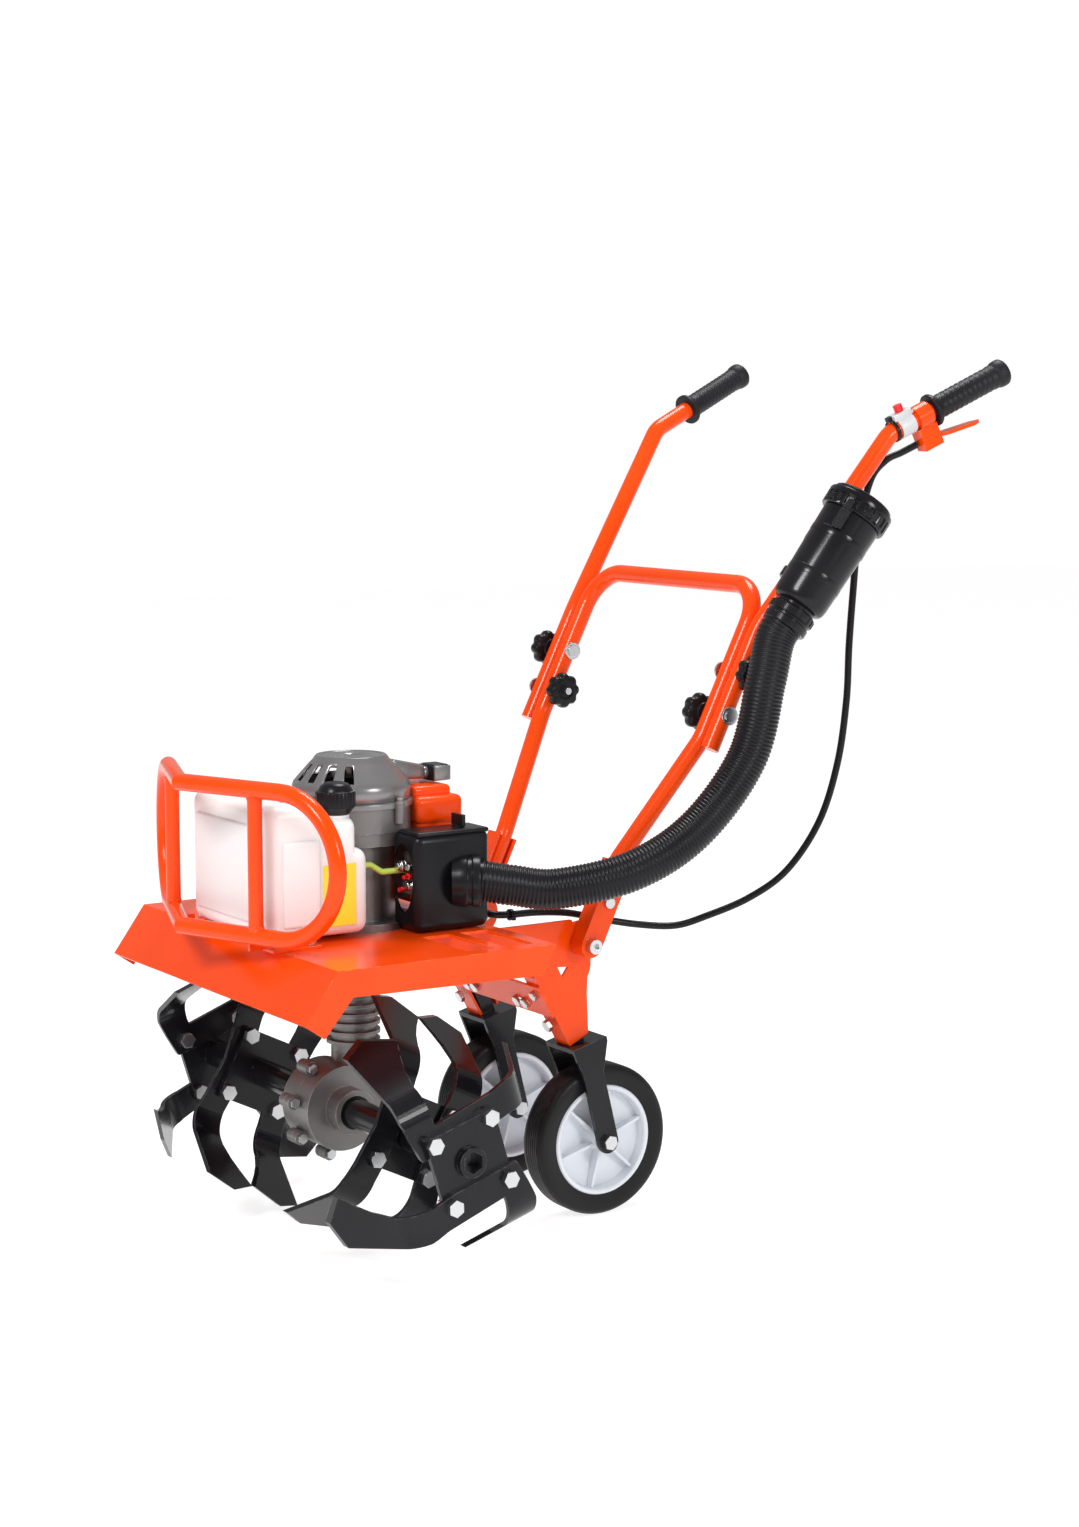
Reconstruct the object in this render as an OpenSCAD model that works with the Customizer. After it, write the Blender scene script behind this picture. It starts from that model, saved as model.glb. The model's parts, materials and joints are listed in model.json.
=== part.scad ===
// Walk-behind mini cultivator with a vertical-shaft two-stroke engine. Millimetres, +Z up.
// Front (bumper) is -Y, handles are +Y, the machine's left side is +X.

/* [Deck and bumper] */
// Width of the deck over its side flanges
deck_w = 440; // [430:2:450]
// Thickness of the deck's sheet steel
sheet_t = 3; // [2:0.5:3]
// Diameter of the bumper's tube
bumper_d = 18; // [16:1:18]

/* [Tines] */
// Width of a tine blade's arm
blade_w = 34; // [30:1:36]
// Thickness of a tine blade
blade_t = 5; // [4:0.5:6]
// Radius of the rotor's blades
rotor_r = 133; // [126:1:135]

/* [Wheels] */
// Width of a tyre
tyre_w = 38; // [34:1:42]
// Number of spokes in a rim
rim_spokes = 6; // [4:1:8]

/* [Handles] */
// Diameter of the handle tubes
tube_d = 20; // [18:0.5:20]
// Diameter of a rubber grip
grip_d = 27; // [25:1:30]
// Diameter of a clamping knob
knob_d = 41; // [38:1:44]
// Number of lobes on a clamping knob
knob_lobes = 8; // [6:1:10]

/* [Engine] */
// Number of ribs on the fuel cap
cap_ribs = 24; // [12:2:36]
// Width of a slot in the starter cover
vent_w = 5; // [3:0.5:6]

/* [Air intake] */
// Diameter of the intake hose
hose_d = 44; // [38:1:45]
// Diameter of the filter canister's cap
canister_d = 75; // [70:1:77]
// Diameter of the control cable's sleeve
cable_d = 8; // [6:1:8]

/* [Output] */
// Which sub-part is drawn

/* [Hidden] */
$fn = 48;
eps = 0.02;
cy = -226.2;            // shift that centres the whole object on the origin
deck_z = 335;           // deck's top face above the ground
hw = deck_w / 2;
eng_y = -20;            // crankshaft axis
rot_y = -46;            // tine shaft axis
rot_z = 141;
side_x = 104;           // outer face of the rear side frames
piv = [0, 203, 306];    // handle pivot in the side plane
fork_x = 91;
fork_top = [0, 202, 199];
fork_tilt = 14.15;
axle_l = 118.6;
tube_r = tube_d / 2;
brk_tilt = -25.5;
bar_q = [218, 531, 852];
bar_d = [20, 141, 66];
can_q = [236, 396, 678];
can_d = [0.12, 0.565, 0.816];

case_bolt = concat([for (a = [125:45:260]) [rot_y + 53 * cos(a), rot_z + 53 * sin(a)]], [[10, 178], [10, 128]]);

// intake hose and control cable, from the engine to the handles
hose_pts = [[108, 68, 387], [115, 79, 386], [128, 101, 382], [152, 143, 378], [188, 215, 396],
  [206, 283, 437], [224, 335, 510], [232, 353, 590], [229.76, 366.61, 635.56],
  [232.64, 380.18, 655.15], [233.48, 384.13, 660.86]];
cable_pts = [[219.5, 568, 839.5], [212, 553, 831], [205, 536, 822], [199, 520, 800], [195, 508, 745], [193, 503, 680],
  [191, 500, 620], [189, 499, 559], [186, 490, 490], [180, 470, 426], [170, 434, 374], [157, 392, 345],
  [140, 344, 326], [122, 316, 316], [103, 280, 318], [90, 240, 326], [86, 200, 336], [87, 160, 341],
  [91, 120, 343], [88, 100, 345], [68, 97, 347], [51, 90, 352], [51, 74, 364]];

// ---- helpers -------------------------------------------------------------

function unit(v) = v / norm(v);
function ang(a, b) = acos(max(-1, min(1, unit(a) * unit(b))));

module sides() { children(); mirror([1, 0, 0]) children(); }
module shift() { translate([0, cy, 0]) children(); }

// extrude an outline drawn in (Y, Z) along X from x0 to x1
module plate_x(x0, x1) {
  translate([x0, 0, 0]) rotate([90, 0, 90]) linear_extrude(x1 - x0) children();
}

module rod(a, b, r) {
  v = b - a;
  translate(a) rotate([0, acos(v[2] / norm(v)), atan2(v[1], v[0])]) cylinder(h = norm(v), r = r);
}

// path through points p with its corners rounded to the bend radii r (one for each inner point)
function bend(a, c, b, r) = let (d1 = unit(c - a), d2 = unit(b - c), g = ang(d1, d2),
  n = unit(d2 - (d2 * d1) * d1), o = c - r * tan(g / 2) * d1 + r * n)
  [for (j = [0:6]) o - r * cos(g * j / 6) * n + r * sin(g * j / 6) * d1];
function bent(p, r) = concat([p[0]], [for (i = [1:len(p) - 2]) each bend(p[i - 1], p[i], p[i + 1], r[i - 1])],
  [p[len(p) - 1]]);
function longer(p, e) = concat([p[0] + e * unit(p[0] - p[1])], [for (i = [1:len(p) - 2]) p[i]],
  [p[len(p) - 1] + e * unit(p[len(p) - 1] - p[len(p) - 2])]);

// hollow bent tube
module tube_run(p, r, ro, ri) difference() {
  sweep(bent(p, r), ro, 20);
  sweep(longer(bent(p, r), 1), ri, 20);
}

// smooth sweep of an n-gon along points, used for the hose and the cable
function cr(p, i, t) = let (a = p[max(i - 1, 0)], b = p[i], c = p[i + 1], d = p[min(i + 2, len(p) - 1)])
  0.5 * ((2 * b) + (c - a) * t + (2 * a - 5 * b + 4 * c - d) * t * t + (3 * b - a - 3 * c + d) * t * t * t);
function smooth(p, k) = concat([for (i = [0:len(p) - 2]) for (j = [0:k - 1]) cr(p, i, j / k)], [p[len(p) - 1]]);
function tangent(q, i) = unit(q[min(i + 1, len(q) - 1)] - q[max(i - 1, 0)]);
function frames(q, i = 0, u = [0, 0, 1], acc = []) = i == len(q) ? acc :
  let (t = tangent(q, i), v = unit(u - (u * t) * t)) frames(q, i + 1, v, concat(acc, [v]));
module sweep(q, r, n) {
  f = frames(q, 0, unit([0.3, -0.2, 1]));
  m = len(q);
  pts = [for (i = [0:m - 1]) let (t = tangent(q, i), u = f[i], w = cross(t, u))
    for (j = [0:n - 1]) q[i] + r * (cos(360 * j / n) * u + sin(360 * j / n) * w)];
  sidef = [for (i = [0:m - 2]) for (j = [0:n - 1])
    [i * n + j, i * n + (j + 1) % n, (i + 1) * n + (j + 1) % n, (i + 1) * n + j]];
  tri = [for (s = sidef) each [[s[0], s[2], s[1]], [s[0], s[3], s[2]]]];
  caps = [[for (j = [0:n - 1]) j], [for (j = [n - 1:-1:0]) (m - 1) * n + j]];
  polyhedron(pts, concat(tri, caps));
}

module hexhead(r, h) { cylinder(h = h, r = r, $fn = 6); }

// bolt along +X: shank from x0 to x1, hex head beyond x1
module bolt_x(y, z, x0, x1, r, hr, hh) {
  translate([x0, y, z]) rotate([0, 90, 0]) cylinder(h = x1 - x0, r = r);
  translate([x1, y, z]) rotate([0, 90, 0]) hexhead(hr, hh);
}

module on_bar(t) {
  translate(bar_q) rotate([24.86, 0, -8.07]) translate([0, t, 0]) children();
}

module on_can(t) {
  d = unit(can_d);
  translate(can_q) rotate([0, acos(d[2]), atan2(d[1], d[0])]) translate([0, 0, t]) children();
}

module at_fork() { translate([fork_x, fork_top[1], fork_top[2]]) rotate([fork_tilt, 0, 0]) children(); }
module at_rotor() { translate([0, rot_y, rot_z]) children(); }

// ---- frame ---------------------------------------------------------------

module flange_outline() {
  polygon([[-160, 335], [-197, 284], [-175, 269], [-143, 307], [82, 304], [94, 335]]);
}

module deck_panel() shift() color("orangered") {
  difference() {
    translate([-hw, -158, deck_z - sheet_t]) cube([deck_w, 252, sheet_t]);
    translate([0, eng_y, 300]) cylinder(h = 60, r = 52);
    sides() {
      translate([114, -2, 300]) cube([90, 34, 60]);
      translate([114, 44, 300]) cube([90, 34, 60]);
    }
    for (a = [45:90:315]) translate([60 * cos(a), eng_y + 60 * sin(a), 300]) cylinder(h = 60, r = 3.2);
  }
  plate_x(-hw, hw) polygon([[-160, 335], [-197, 284], [-197 + sheet_t * 0.81, 284 - sheet_t * 0.59],
    [-158, deck_z - sheet_t], [-158, 335]]);
  sides() plate_x(hw - sheet_t, hw) flange_outline();
}

module side_outline() {
  polygon([[10, 332], [192, 332], [214, 290], [212, 250], [214, 205], [190, 193], [146, 272], [118, 305], [10, 312]]);
  translate([piv[1], piv[2]]) circle(24);
  translate([190, 282]) circle(27);
}

module side_frame() {
  plate_x(side_x - 4, side_x) difference() {
    side_outline();
    translate([piv[1], piv[2]]) circle(5);
    polygon([[174, 282], [188, 281], [180, 270]]);
  }
  plate_x(78, side_x - 4) polygon([[146, 272], [190, 193], [192.6, 194.3], [148.8, 273.4]]);
  plate_x(78, side_x - 4) polygon([[203, 247], [211.2, 203.6], [214, 205], [206, 248.6]]);
}

module side_frame_left() shift() color("orangered") side_frame();
module side_frame_right() shift() color("orangered") mirror([1, 0, 0]) side_frame();

// slanted plate bolted across the front of both legs
module at_cross() { translate([0, 151, 263]) rotate([29.1, 0, 0]) children(); }
module rear_cross_plate() shift() color("orangered") difference() {
  at_cross() translate([-104, -3.05, -40]) cube([208, 3, 40]);
  at_cross() sides() {
    translate([40, 0, -28]) rotate([90, 0, 0]) linear_extrude(20, center = true)
      union() { circle(4.5); translate([22, 0]) circle(4.5); translate([0, -4.5]) square([22, 9]); }
    translate([89, 0, -12]) rotate([90, 0, 0]) cylinder(h = 20, r = 3.1, center = true);
  }
}

// the bumper is one closed loop bent into a V: a ring of the tube is [centre, tangent, normal, stretch]
bumper_v = 21;          // angle of each wing behind the straight front
function wing(u, z, s) = [s * u * cos(bumper_v), -220 + u * sin(bumper_v), z];
function corner_ring(z, s) = [wing(0, z, s), [s, 0, 0], [0, 1, 0], 1 / cos(bumper_v)];
function wing_ring(a, s) = [wing(134 + 74.5 * cos(a), 426.5 + 74.5 * sin(a), s),
  [-sin(a) * cos(bumper_v), -s * sin(a) * sin(bumper_v), s * cos(a)], [-s * sin(bumper_v), cos(bumper_v), 0], 1];
module bumper_loop(r, n) {
  q = concat([corner_ring(352, 1)], [for (a = [-90:15:90]) wing_ring(a, 1)],
    [corner_ring(501, -1)], [for (a = [90:-15:-90]) wing_ring(a, -1)]);
  m = len(q);
  pts = [for (g = q) let (w = cross(g[1], g[2])) for (j = [0:n - 1])
    g[0] + r * (cos(360 * j / n) * g[3] * g[2] + sin(360 * j / n) * w)];
  side = [for (i = [0:m - 1]) for (j = [0:n - 1]) let (k = (i + 1) % m, l = (j + 1) % n)
    [i * n + j, i * n + l, k * n + l, k * n + j]];
  polyhedron(pts, [for (f = side) each [[f[0], f[2], f[1]], [f[0], f[3], f[2]]]]);
}
module front_bumper() shift() color("orangered") {
  bumper_loop(bumper_d / 2, 20);
  for (s = [-1, 1]) rod(wing(101, 352, s), wing(101, 501, s), bumper_d / 2 - 1.3);
  sides() difference() {
    union() {
      translate([62, -172, deck_z + 0.05]) cube([46, 56, 3]);
      translate([80, -186, deck_z + 0.05]) cube([4, 19.5, 12]);
    }
    for (y = [-146, -124]) translate([100, y, 330]) cylinder(h = 20, r = 3.1);
  }
}

module deck_bolts() {
  sides() for (y = [-146, -124]) translate([100, y, deck_z + 3.1]) { hexhead(5.5, 4); translate([0, 0, -3]) cylinder(h = 3, r = 3); }
  at_cross() sides() {
    translate([89, -3.1, -12]) rotate([90, 0, 0]) { hexhead(5.5, 4); translate([0, 0, -3]) cylinder(h = 3, r = 3); }
    for (x = [44, 60]) translate([x, -3.1, -28]) rotate([90, 0, 0]) hexhead(6.5, 4);
  }
}

module fork() {
  translate([-28, -18, -8.2]) cube([56, 44, 5]);
  for (s = [-1, 1]) difference() {
    translate([s > 0 ? 24 : -28, 0, 0]) rotate([90, 0, 90]) linear_extrude(4) union() {
      polygon([[-18, -8.2], [26, -8.2], [13, -40], [13, -axle_l], [-13, -axle_l], [-13, -40]]);
      translate([0, -axle_l]) circle(13);
    }
    translate([-40, 0, -axle_l]) rotate([0, 90, 0]) cylinder(h = 80, r = 5);
  }
  rotate([9.5, 0, 0]) difference() {
    translate([-9, -8, -6.5]) cube([17, 16, 62]);
    translate([-0.5, -20, 28]) rotate([-90, 0, 0]) cylinder(h = 40, r = 4);
  }
}
module wheel_forks() shift() color("dimgray") sides() at_fork() fork();

module fork_bolts() sides() at_fork() rotate([9.5, 0, 0]) translate([-0.5, 0, 28]) {
  translate([0, -8, 0]) rotate([-90, 0, 0]) cylinder(h = 16, r = 4);
  translate([0, -20.5, 0]) rotate([90, 0, 0]) hexhead(7, 5);
  translate([0, 22, 0]) rotate([-90, 0, 0]) hexhead(7, 6);
}

module axle_bolts() sides() at_fork() translate([0, 0, -axle_l]) {
  translate([-28, 0, 0]) rotate([0, 90, 0]) cylinder(h = 56, r = 5);
  translate([28, 0, 0]) rotate([0, 90, 0]) hexhead(8.5, 6);
  translate([-36, 0, 0]) rotate([0, 90, 0]) hexhead(8.5, 8);
}

module case_bolts() for (p = case_bolt) translate([-10, p[0], p[1]]) rotate([0, 90, 0]) {
  cylinder(h = 20, r = 2.95);
  translate([0, 0, 20]) hexhead(5.6, 4);
  translate([0, 0, -4]) hexhead(5.6, 4);
}

module chassis_bolts() shift() color("silver") {
  deck_bolts();
  fork_bolts();
  axle_bolts();
  case_bolts();
}

module pivot_bolts() shift() color("silver") sides() {
  translate([88, piv[1], piv[2]]) rotate([0, 90, 0]) cylinder(h = 39.3, r = 5);
  translate([91.9, piv[1], piv[2]]) rotate([0, 90, 0]) difference() { hexhead(9, 8); translate([0, 0, -1]) cylinder(h = 10, r = 5); }
  translate([127.4, piv[1], piv[2]]) rotate([0, 90, 0]) difference() {
    cylinder(h = 8, r = 8);
    translate([0, 0, 3]) cylinder(h = 6, r = 4, $fn = 6);
  }
}

// ---- engine --------------------------------------------------------------

module at_eng(z) { translate([0, eng_y, z]) children(); }

module crankcase() shift() color("gray") difference() {
  union() {
    at_eng(deck_z) cylinder(h = 8, r = 67);
    at_eng(deck_z + 8) cylinder(h = 81, r = 46);
    at_eng(424) cylinder(h = 14, r = 60);
    at_eng(438) cylinder(h = 27, r = 63);
    translate([-30, eng_y, 362]) cube([60, 52, 72]);
  }
  at_eng(deck_z - 1) cylinder(h = 6, r = 52);
  at_eng(340) cylinder(h = 20, r = 14);
  at_eng(352) cylinder(h = 64, r = 32);
  at_eng(410) cylinder(h = 60, r = 14);
  at_eng(442) cylinder(h = 30, r = 58);
  for (a = [45:90:315]) translate([60 * cos(a), eng_y + 60 * sin(a), 330]) cylinder(h = 20, r = 3.2);
}

module engine_cylinder() shift() color("silver") difference() {
  union() {
    translate([0, 32.1, 402]) rotate([-90, 0, 0]) cylinder(h = 52, r = 25);
    for (i = [0:6]) translate([-36, 38 + i * 7, 362]) cube([72, 2.5, 80]);
    translate([10, 41, 384]) cube([44, 24, 30]);
    translate([-50, 39, 380]) cube([40, 28, 36]);
  }
  at_eng(423.7) cylinder(h = 50, r = 63.4);
}

module cover_outline() {
  offset(6) offset(-6) polygon([[-46, 354], [46, 354], [46, 462], [36, 474], [-36, 474], [-46, 462]]);
}
module cylinder_cover() shift() color("orangered") difference() {
  union() {
    translate([0, 92, 0]) rotate([90, 0, 0]) linear_extrude(58) cover_outline();
    translate([-34, 36, 470]) cube([68, 48, 10]);
  }
  translate([0, 89, 0]) rotate([90, 0, 0]) linear_extrude(62) offset(-3) cover_outline();
  at_eng(400) cylinder(h = 100, r = 64);
  translate([-60, 20, 366]) cube([120, 66, 56]);
  translate([0, 80, 402]) rotate([-90, 0, 0]) cylinder(h = 20, r = 15);
  for (z = [430, 442]) translate([-30, 87, z]) cube([60, 20, 5]);
}

module spark_plug() shift() color("black") {
  translate([0, 84.2, 402]) rotate([-90, 0, 0]) cylinder(h = 12, r = 6);
  translate([0, 96.2, 402]) rotate([-90, 0, 0]) cylinder(h = 20, r = 9);
  translate([0, 116.2, 402]) rotate([-90, 0, 0]) cylinder(h = 4, r = 7);
}

module muffler() shift() color("dimgray") difference() {
  union() {
    translate([-100, 16, 356]) cube([49.8, 76, 76]);
    translate([-112, 30, 372]) rotate([0, 90, 0]) cylinder(h = 14, r = 8);
  }
  translate([-97, 19, 359]) cube([43.8, 70, 70]);
  translate([-120, 30, 372]) rotate([0, 90, 0]) cylinder(h = 30, r = 6);
  for (i = [0:4]) translate([-92 + i * 8, 10, 372]) cube([4, 8, 44]);
}

module carburettor() shift() color("silver") {
  translate([54.2, 36, 384]) cube([22, 30, 30]);
  translate([60, 14, 388]) cube([14, 21.8, 22]);
  translate([76.4, 51, 399]) rotate([0, 90, 0]) cylinder(h = 12, r = 13);
  translate([67, 13.8, 399]) rotate([90, 0, 0]) cylinder(h = 8, r = 5);
}

module at_port(t) { translate([98, 52, 387]) rotate([0, 90, 58]) translate([0, 0, t]) children(); }
module box_outline() { offset(10) offset(-10) square([92, 104]); }
module air_box() shift() color("black") difference() {
  union() {
    translate([56, -2, 336]) rotate([90, 0, 90]) linear_extrude(48) box_outline();
    at_port(-6) cylinder(h = 30, r = hose_d / 2 + 4);
  }
  translate([53, 2, 340]) rotate([90, 0, 90]) linear_extrude(47) offset(8) offset(-8) square([84, 96]);
  at_eng(330) cylinder(h = 13.4, r = 67.4);
  at_eng(423.7) cylinder(h = 30, r = 63.4);
  translate([78, -10, 392]) rotate([-90, 0, 0]) scale([0.55, 1, 1]) cylinder(h = 20, r = 34);
  at_port(-2) cylinder(h = 60, r = hose_d / 2 + 0.3);
  translate([80, 64, 430]) cylinder(h = 20, r = 3.05);
}

module starter_cover() shift() color("silver") difference() {
  union() {
    at_eng(465.2) cylinder(h = 20, r = 63);
    at_eng(485.2) cylinder(h = 26, r1 = 63, r2 = 40);
    at_eng(511.2) cylinder(h = 5, r = 40);
    translate([-11, 20, 480]) cube([22, 46, 20]);
  }
  at_eng(464) cylinder(h = 21, r = 59);
  at_eng(485) cylinder(h = 23, r1 = 59, r2 = 37);
  translate([0, 0, 490]) rotate([-90, 0, 0]) cylinder(h = 80, r = 4);
  for (a = [144:24:335]) at_eng(488) rotate([0, 0, a]) translate([34, -vent_w / 2, 0]) cube([40, vent_w, 16]);
}

module tank_outline() {
  offset(7) offset(-7) polygon([[-165, 341], [-49, 341], [-49, 428], [-62, 442], [-62, 464],
    [-96, 464], [-104, 480], [-165, 480]]);
}
module fuel_tank() shift() color("ivory") difference() {
  union() {
    plate_x(-90, 90) tank_outline();
    translate([70, -78, 455]) cylinder(h = 16, r = 14);
  }
  plate_x(-87, 87) offset(-3) tank_outline();
  at_eng(330) cylinder(h = 200, r = 68.5);
  translate([70, -78, 430]) cylinder(h = 60, r = 10.05);
  for (y = [-128, -112]) translate([56, y, 470]) cylinder(h = 20, r = 4);
}

module tank_grommets() color("black") for (y = [-128, -112]) translate([56, y, 474]) {
  cylinder(h = 6, r = 4);
  translate([0, 0, 6]) cylinder(h = 5, r = 6.5);
}

module tank_label() shift() color("gold") translate([90.05, -104, 352]) cube([0.6, 38, 64]);

module fuel_line() shift() color("yellowgreen") {
  tube_run([[66, -49, 408], [66, -36, 408], [67, -22, 399], [67, 5.6, 399]], [6, 6], 3.2, 1.6);
  tank_grommets();
}

module fuel_cap() shift() color("black") translate([70, -78, 471.4]) {
  translate([0, 0, -14]) cylinder(h = 14, r = 10);
  difference() {
    union() {
      cylinder(h = 18, r = 21);
      translate([0, 0, 18]) cylinder(h = 9, r1 = 19, r2 = 12);
    }
    for (i = [0:cap_ribs - 1]) rotate([0, 0, 360 / cap_ribs * i]) translate([21.6, 0, 3]) cylinder(h = 22, r = 1.2, $fn = 16);
  }
}

module air_box_screw() shift() color("black") translate([80, 64, 440.1]) {
  translate([0, 0, -10]) cylinder(h = 10, r = 3);
  cylinder(h = 3, r = 7);
  translate([-11, -2, 3]) cube([22, 4, 12]);
}

module starter_handle() shift() color("black") {
  translate([0, 66.3, 490]) rotate([-90, 0, 0]) cylinder(h = 6, r = 7);
  translate([-17, 72.3, 481]) cube([34, 22, 18]);
}

module starter_rope() shift() color("white") translate([0, 26, 490]) rotate([-90, 0, 0]) cylinder(h = 40.2, r = 2);

module starter_pulley() shift() color("dimgray") at_eng(486) difference() {
  union() {
    cylinder(h = 2, r = 32);
    translate([0, 0, 2]) cylinder(h = 5, r = 28);
    translate([0, 0, 7]) cylinder(h = 2, r = 32);
  }
  translate([0, 0, -1]) cylinder(h = 20, r = 5.05);
}

// crankshaft, flywheel fan, starter post and centrifugal clutch turn as one
module crankshaft() shift() color("silver") {
  at_eng(316) cylinder(h = 30, r = 7);
  at_eng(346) cylinder(h = 10, r = 13.95);
  at_eng(356) cylinder(h = 54, r = 20);
  at_eng(410) cylinder(h = 20, r = 13.95);
  at_eng(430) cylinder(h = 16, r = 9);
  at_eng(446) {
    cylinder(h = 5, r = 52);
    for (i = [0:11]) rotate([0, 0, 30 * i]) translate([26, -1.5, 4]) cube([24, 3, 15]);
    cylinder(h = 25, r = 16);
  }
  at_eng(471) cylinder(h = 32, r = 5);
  at_eng(308) cylinder(h = 8, r = 34);
}

// ---- gearbox and clutch --------------------------------------------------

module clutch_housing() shift() color("silver") difference() {
  union() {
    at_eng(326) cylinder(h = 5.95, r = 68);
    at_eng(292) cylinder(h = 34, r = 55);
    at_eng(262) cylinder(h = 30, r1 = 27, r2 = 55);
    at_eng(197) cylinder(h = 65, r = 24);
    for (z = [206:10:256]) at_eng(z) cylinder(h = 4, r = 29);
  }
  at_eng(298) cylinder(h = 40, r = 50);
  at_eng(190) cylinder(h = 120, r = 11);
  for (a = [45:90:315]) translate([60 * cos(a), eng_y + 60 * sin(a), 320]) cylinder(h = 20, r = 3.2);
}

module worm_shaft() shift() color("silver") {
  at_eng(118) cylinder(h = 184, r = 6);
  at_eng(128) cylinder(h = 26, r = 7.5);
  at_eng(302) cylinder(h = 3, r = 44);
  at_eng(305) difference() { cylinder(h = 18, r = 44); translate([0, 0, -1]) cylinder(h = 20, r = 40); }
}

module gear_half() difference() {
  union() {
    at_rotor() rotate([0, 90, 0]) cylinder(h = 28, r = 46);
    at_rotor() rotate([0, 90, 0]) cylinder(h = 50, r = 24);
    intersection() {
      at_eng(106) cylinder(h = 90.8, r = 24);
      translate([0, -80, 90]) cube([40, 120, 120]);
    }
    for (p = case_bolt) translate([0, p[0], p[1]]) rotate([0, 90, 0]) cylinder(h = 10, r = 7.5);
  }
  translate([-1, 0, 0]) at_rotor() rotate([0, 90, 0]) cylinder(h = 21, r = 34);
  at_rotor() rotate([0, 90, 0]) cylinder(h = 60, r = 12);
  at_rotor() translate([30, 0, 0]) rotate([0, 90, 0]) cylinder(h = 30, r = 18);
  at_eng(116) cylinder(h = 60, r = 12);
  at_eng(170) cylinder(h = 40, r = 11);
  for (p = case_bolt) translate([-1, p[0], p[1]]) rotate([0, 90, 0]) cylinder(h = 12, r = 3);
}
module gear_case_left() shift() color("gray") gear_half();
module gear_case_right() shift() color("gray") mirror([1, 0, 0]) gear_half();

module ring(ro, ri, h) difference() { cylinder(h = h, r = ro); translate([0, 0, -1]) cylinder(h = h + 2, r = ri); }
module shaft_bearings() shift() color("silver") {
  sides() at_rotor() translate([31, 0, 0]) rotate([0, 90, 0]) ring(17.95, 10.04, 10);
  at_eng(182) ring(10.95, 6.04, 10);
  at_eng(262) ring(10.95, 6.04, 10);
}
module shaft_seals() shift() color("black") sides() at_rotor() translate([43, 0, 0]) rotate([0, 90, 0]) ring(17.95, 10.08, 6);

// ---- tines ---------------------------------------------------------------

module tine_shaft() shift() color("silver") at_rotor() rotate([0, 90, 0]) {
  cylinder(h = 140, r = 10, center = true);
  cylinder(h = 16, r = 18, center = true);
  for (s = [-1, 1]) translate([0, 0, 165 * s]) cylinder(h = 200, r = 11.4, $fn = 6, center = true);
}

// hub tube with its square plate, from x0 along +X; the plate ends at xp
module rotor(x0, x1, xp, phase) at_rotor() difference() {
  union() {
    translate([x0, 0, 0]) rotate([0, 90, 0]) cylinder(h = x1 - x0, r = 15.5);
    translate([xp - 6, 0, 0]) rotate([phase - 45, 0, 0]) translate([0, -41, -41]) cube([6, 82, 82]);
  }
  translate([x0 - 1, 0, 0]) rotate([0, 90, 0]) cylinder(h = x1 - x0 + 2, r = 11.55, $fn = 6);
  for (a = [0:90:270]) rotate([phase + a, 0, 0]) translate([xp - 10, 47.6, 0]) rotate([0, 90, 0]) cylinder(h = 20, r = 5.05);
}
module rotors() shift() color("dimgray") sides() {
  rotor(54, 166, 166, 108.8);
  rotor(168, 286, 280, 62);
}

// one arm of a blade seen along the shaft: w is its pointing direction, v is across it, w0 its root
module arm_outline(k, w0) scale(k) polygon([[w0, 20], [30, 21], [56, 58.5 - blade_w], [88, 58.5 - blade_w], [98, 19.5],
  [107, 12], [117, 2], [126, 31], [119.5, 58.5], [66, 58.5], [45, 54], [w0, 48]]);

// bent strip drawn in (X, w): flat near the hub, then an arc, then straight towards -X
module arm_strip(r, a) {
  arc = [for (i = [0:10]) a * i / 10];
  tip = 96;
  out = concat([[0, -60]], [for (t = arc) [r * (cos(t) - 1), 56 + r * sin(t)]],
    [[r * (cos(a) - 1) - tip * sin(a), 56 + r * sin(a) + tip * cos(a)]]);
  back = [for (i = [10:-1:0]) let (t = arc[i]) [r * (cos(t) - 1) - blade_t * cos(t), 56 + (r - blade_t) * sin(t)]];
  inner = concat([[back[0][0] - tip * sin(a), back[0][1] + tip * cos(a)]], back, [[-blade_t, -60]]);
  translate([0, 0, -5]) linear_extrude(80) polygon(concat(out, inner));
}
module arm(k, w0) intersection() {
  rotate([90, 0, 90]) linear_extrude(240, center = true) arm_outline(k, w0);
  arm_strip(36, 62);
}

// blade with two arms a quarter turn apart, its outer face at x, the first arm pointing at angle w
module corner_blade(x, w, k) at_rotor() translate([x, 0, 0]) rotate([w, 0, 0]) difference() {
  union() {
    arm(k, -47);
    rotate([90, 0, 0]) arm(k, 22);
  }
  for (a = [45, 135]) rotate([a, 0, 0]) translate([-20, 47.6, 0]) rotate([0, 90, 0]) cylinder(h = 40, r = 5.05);
}
// blade with two arms pointing opposite ways
module straight_blade(x, w, k) at_rotor() translate([x, 0, 0]) rotate([w, 0, 0]) difference() {
  union() {
    arm(k, -1);
    mirror([0, 1, 0]) arm(k, -1);
  }
  for (a = [45, 135]) rotate([a, 0, 0]) translate([-20, 47.6, 0]) rotate([0, 90, 0]) cylinder(h = 40, r = 5.05);
}
module rotor_blades() shift() color("dimgray") sides() {
  k = rotor_r / 133;
  corner_blade(280.05 + blade_t, 197, k);
  corner_blade(273.95, 17, k);
  for (w = [63.8, 243.8]) straight_blade(166.05 + blade_t, w, k);
}

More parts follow.
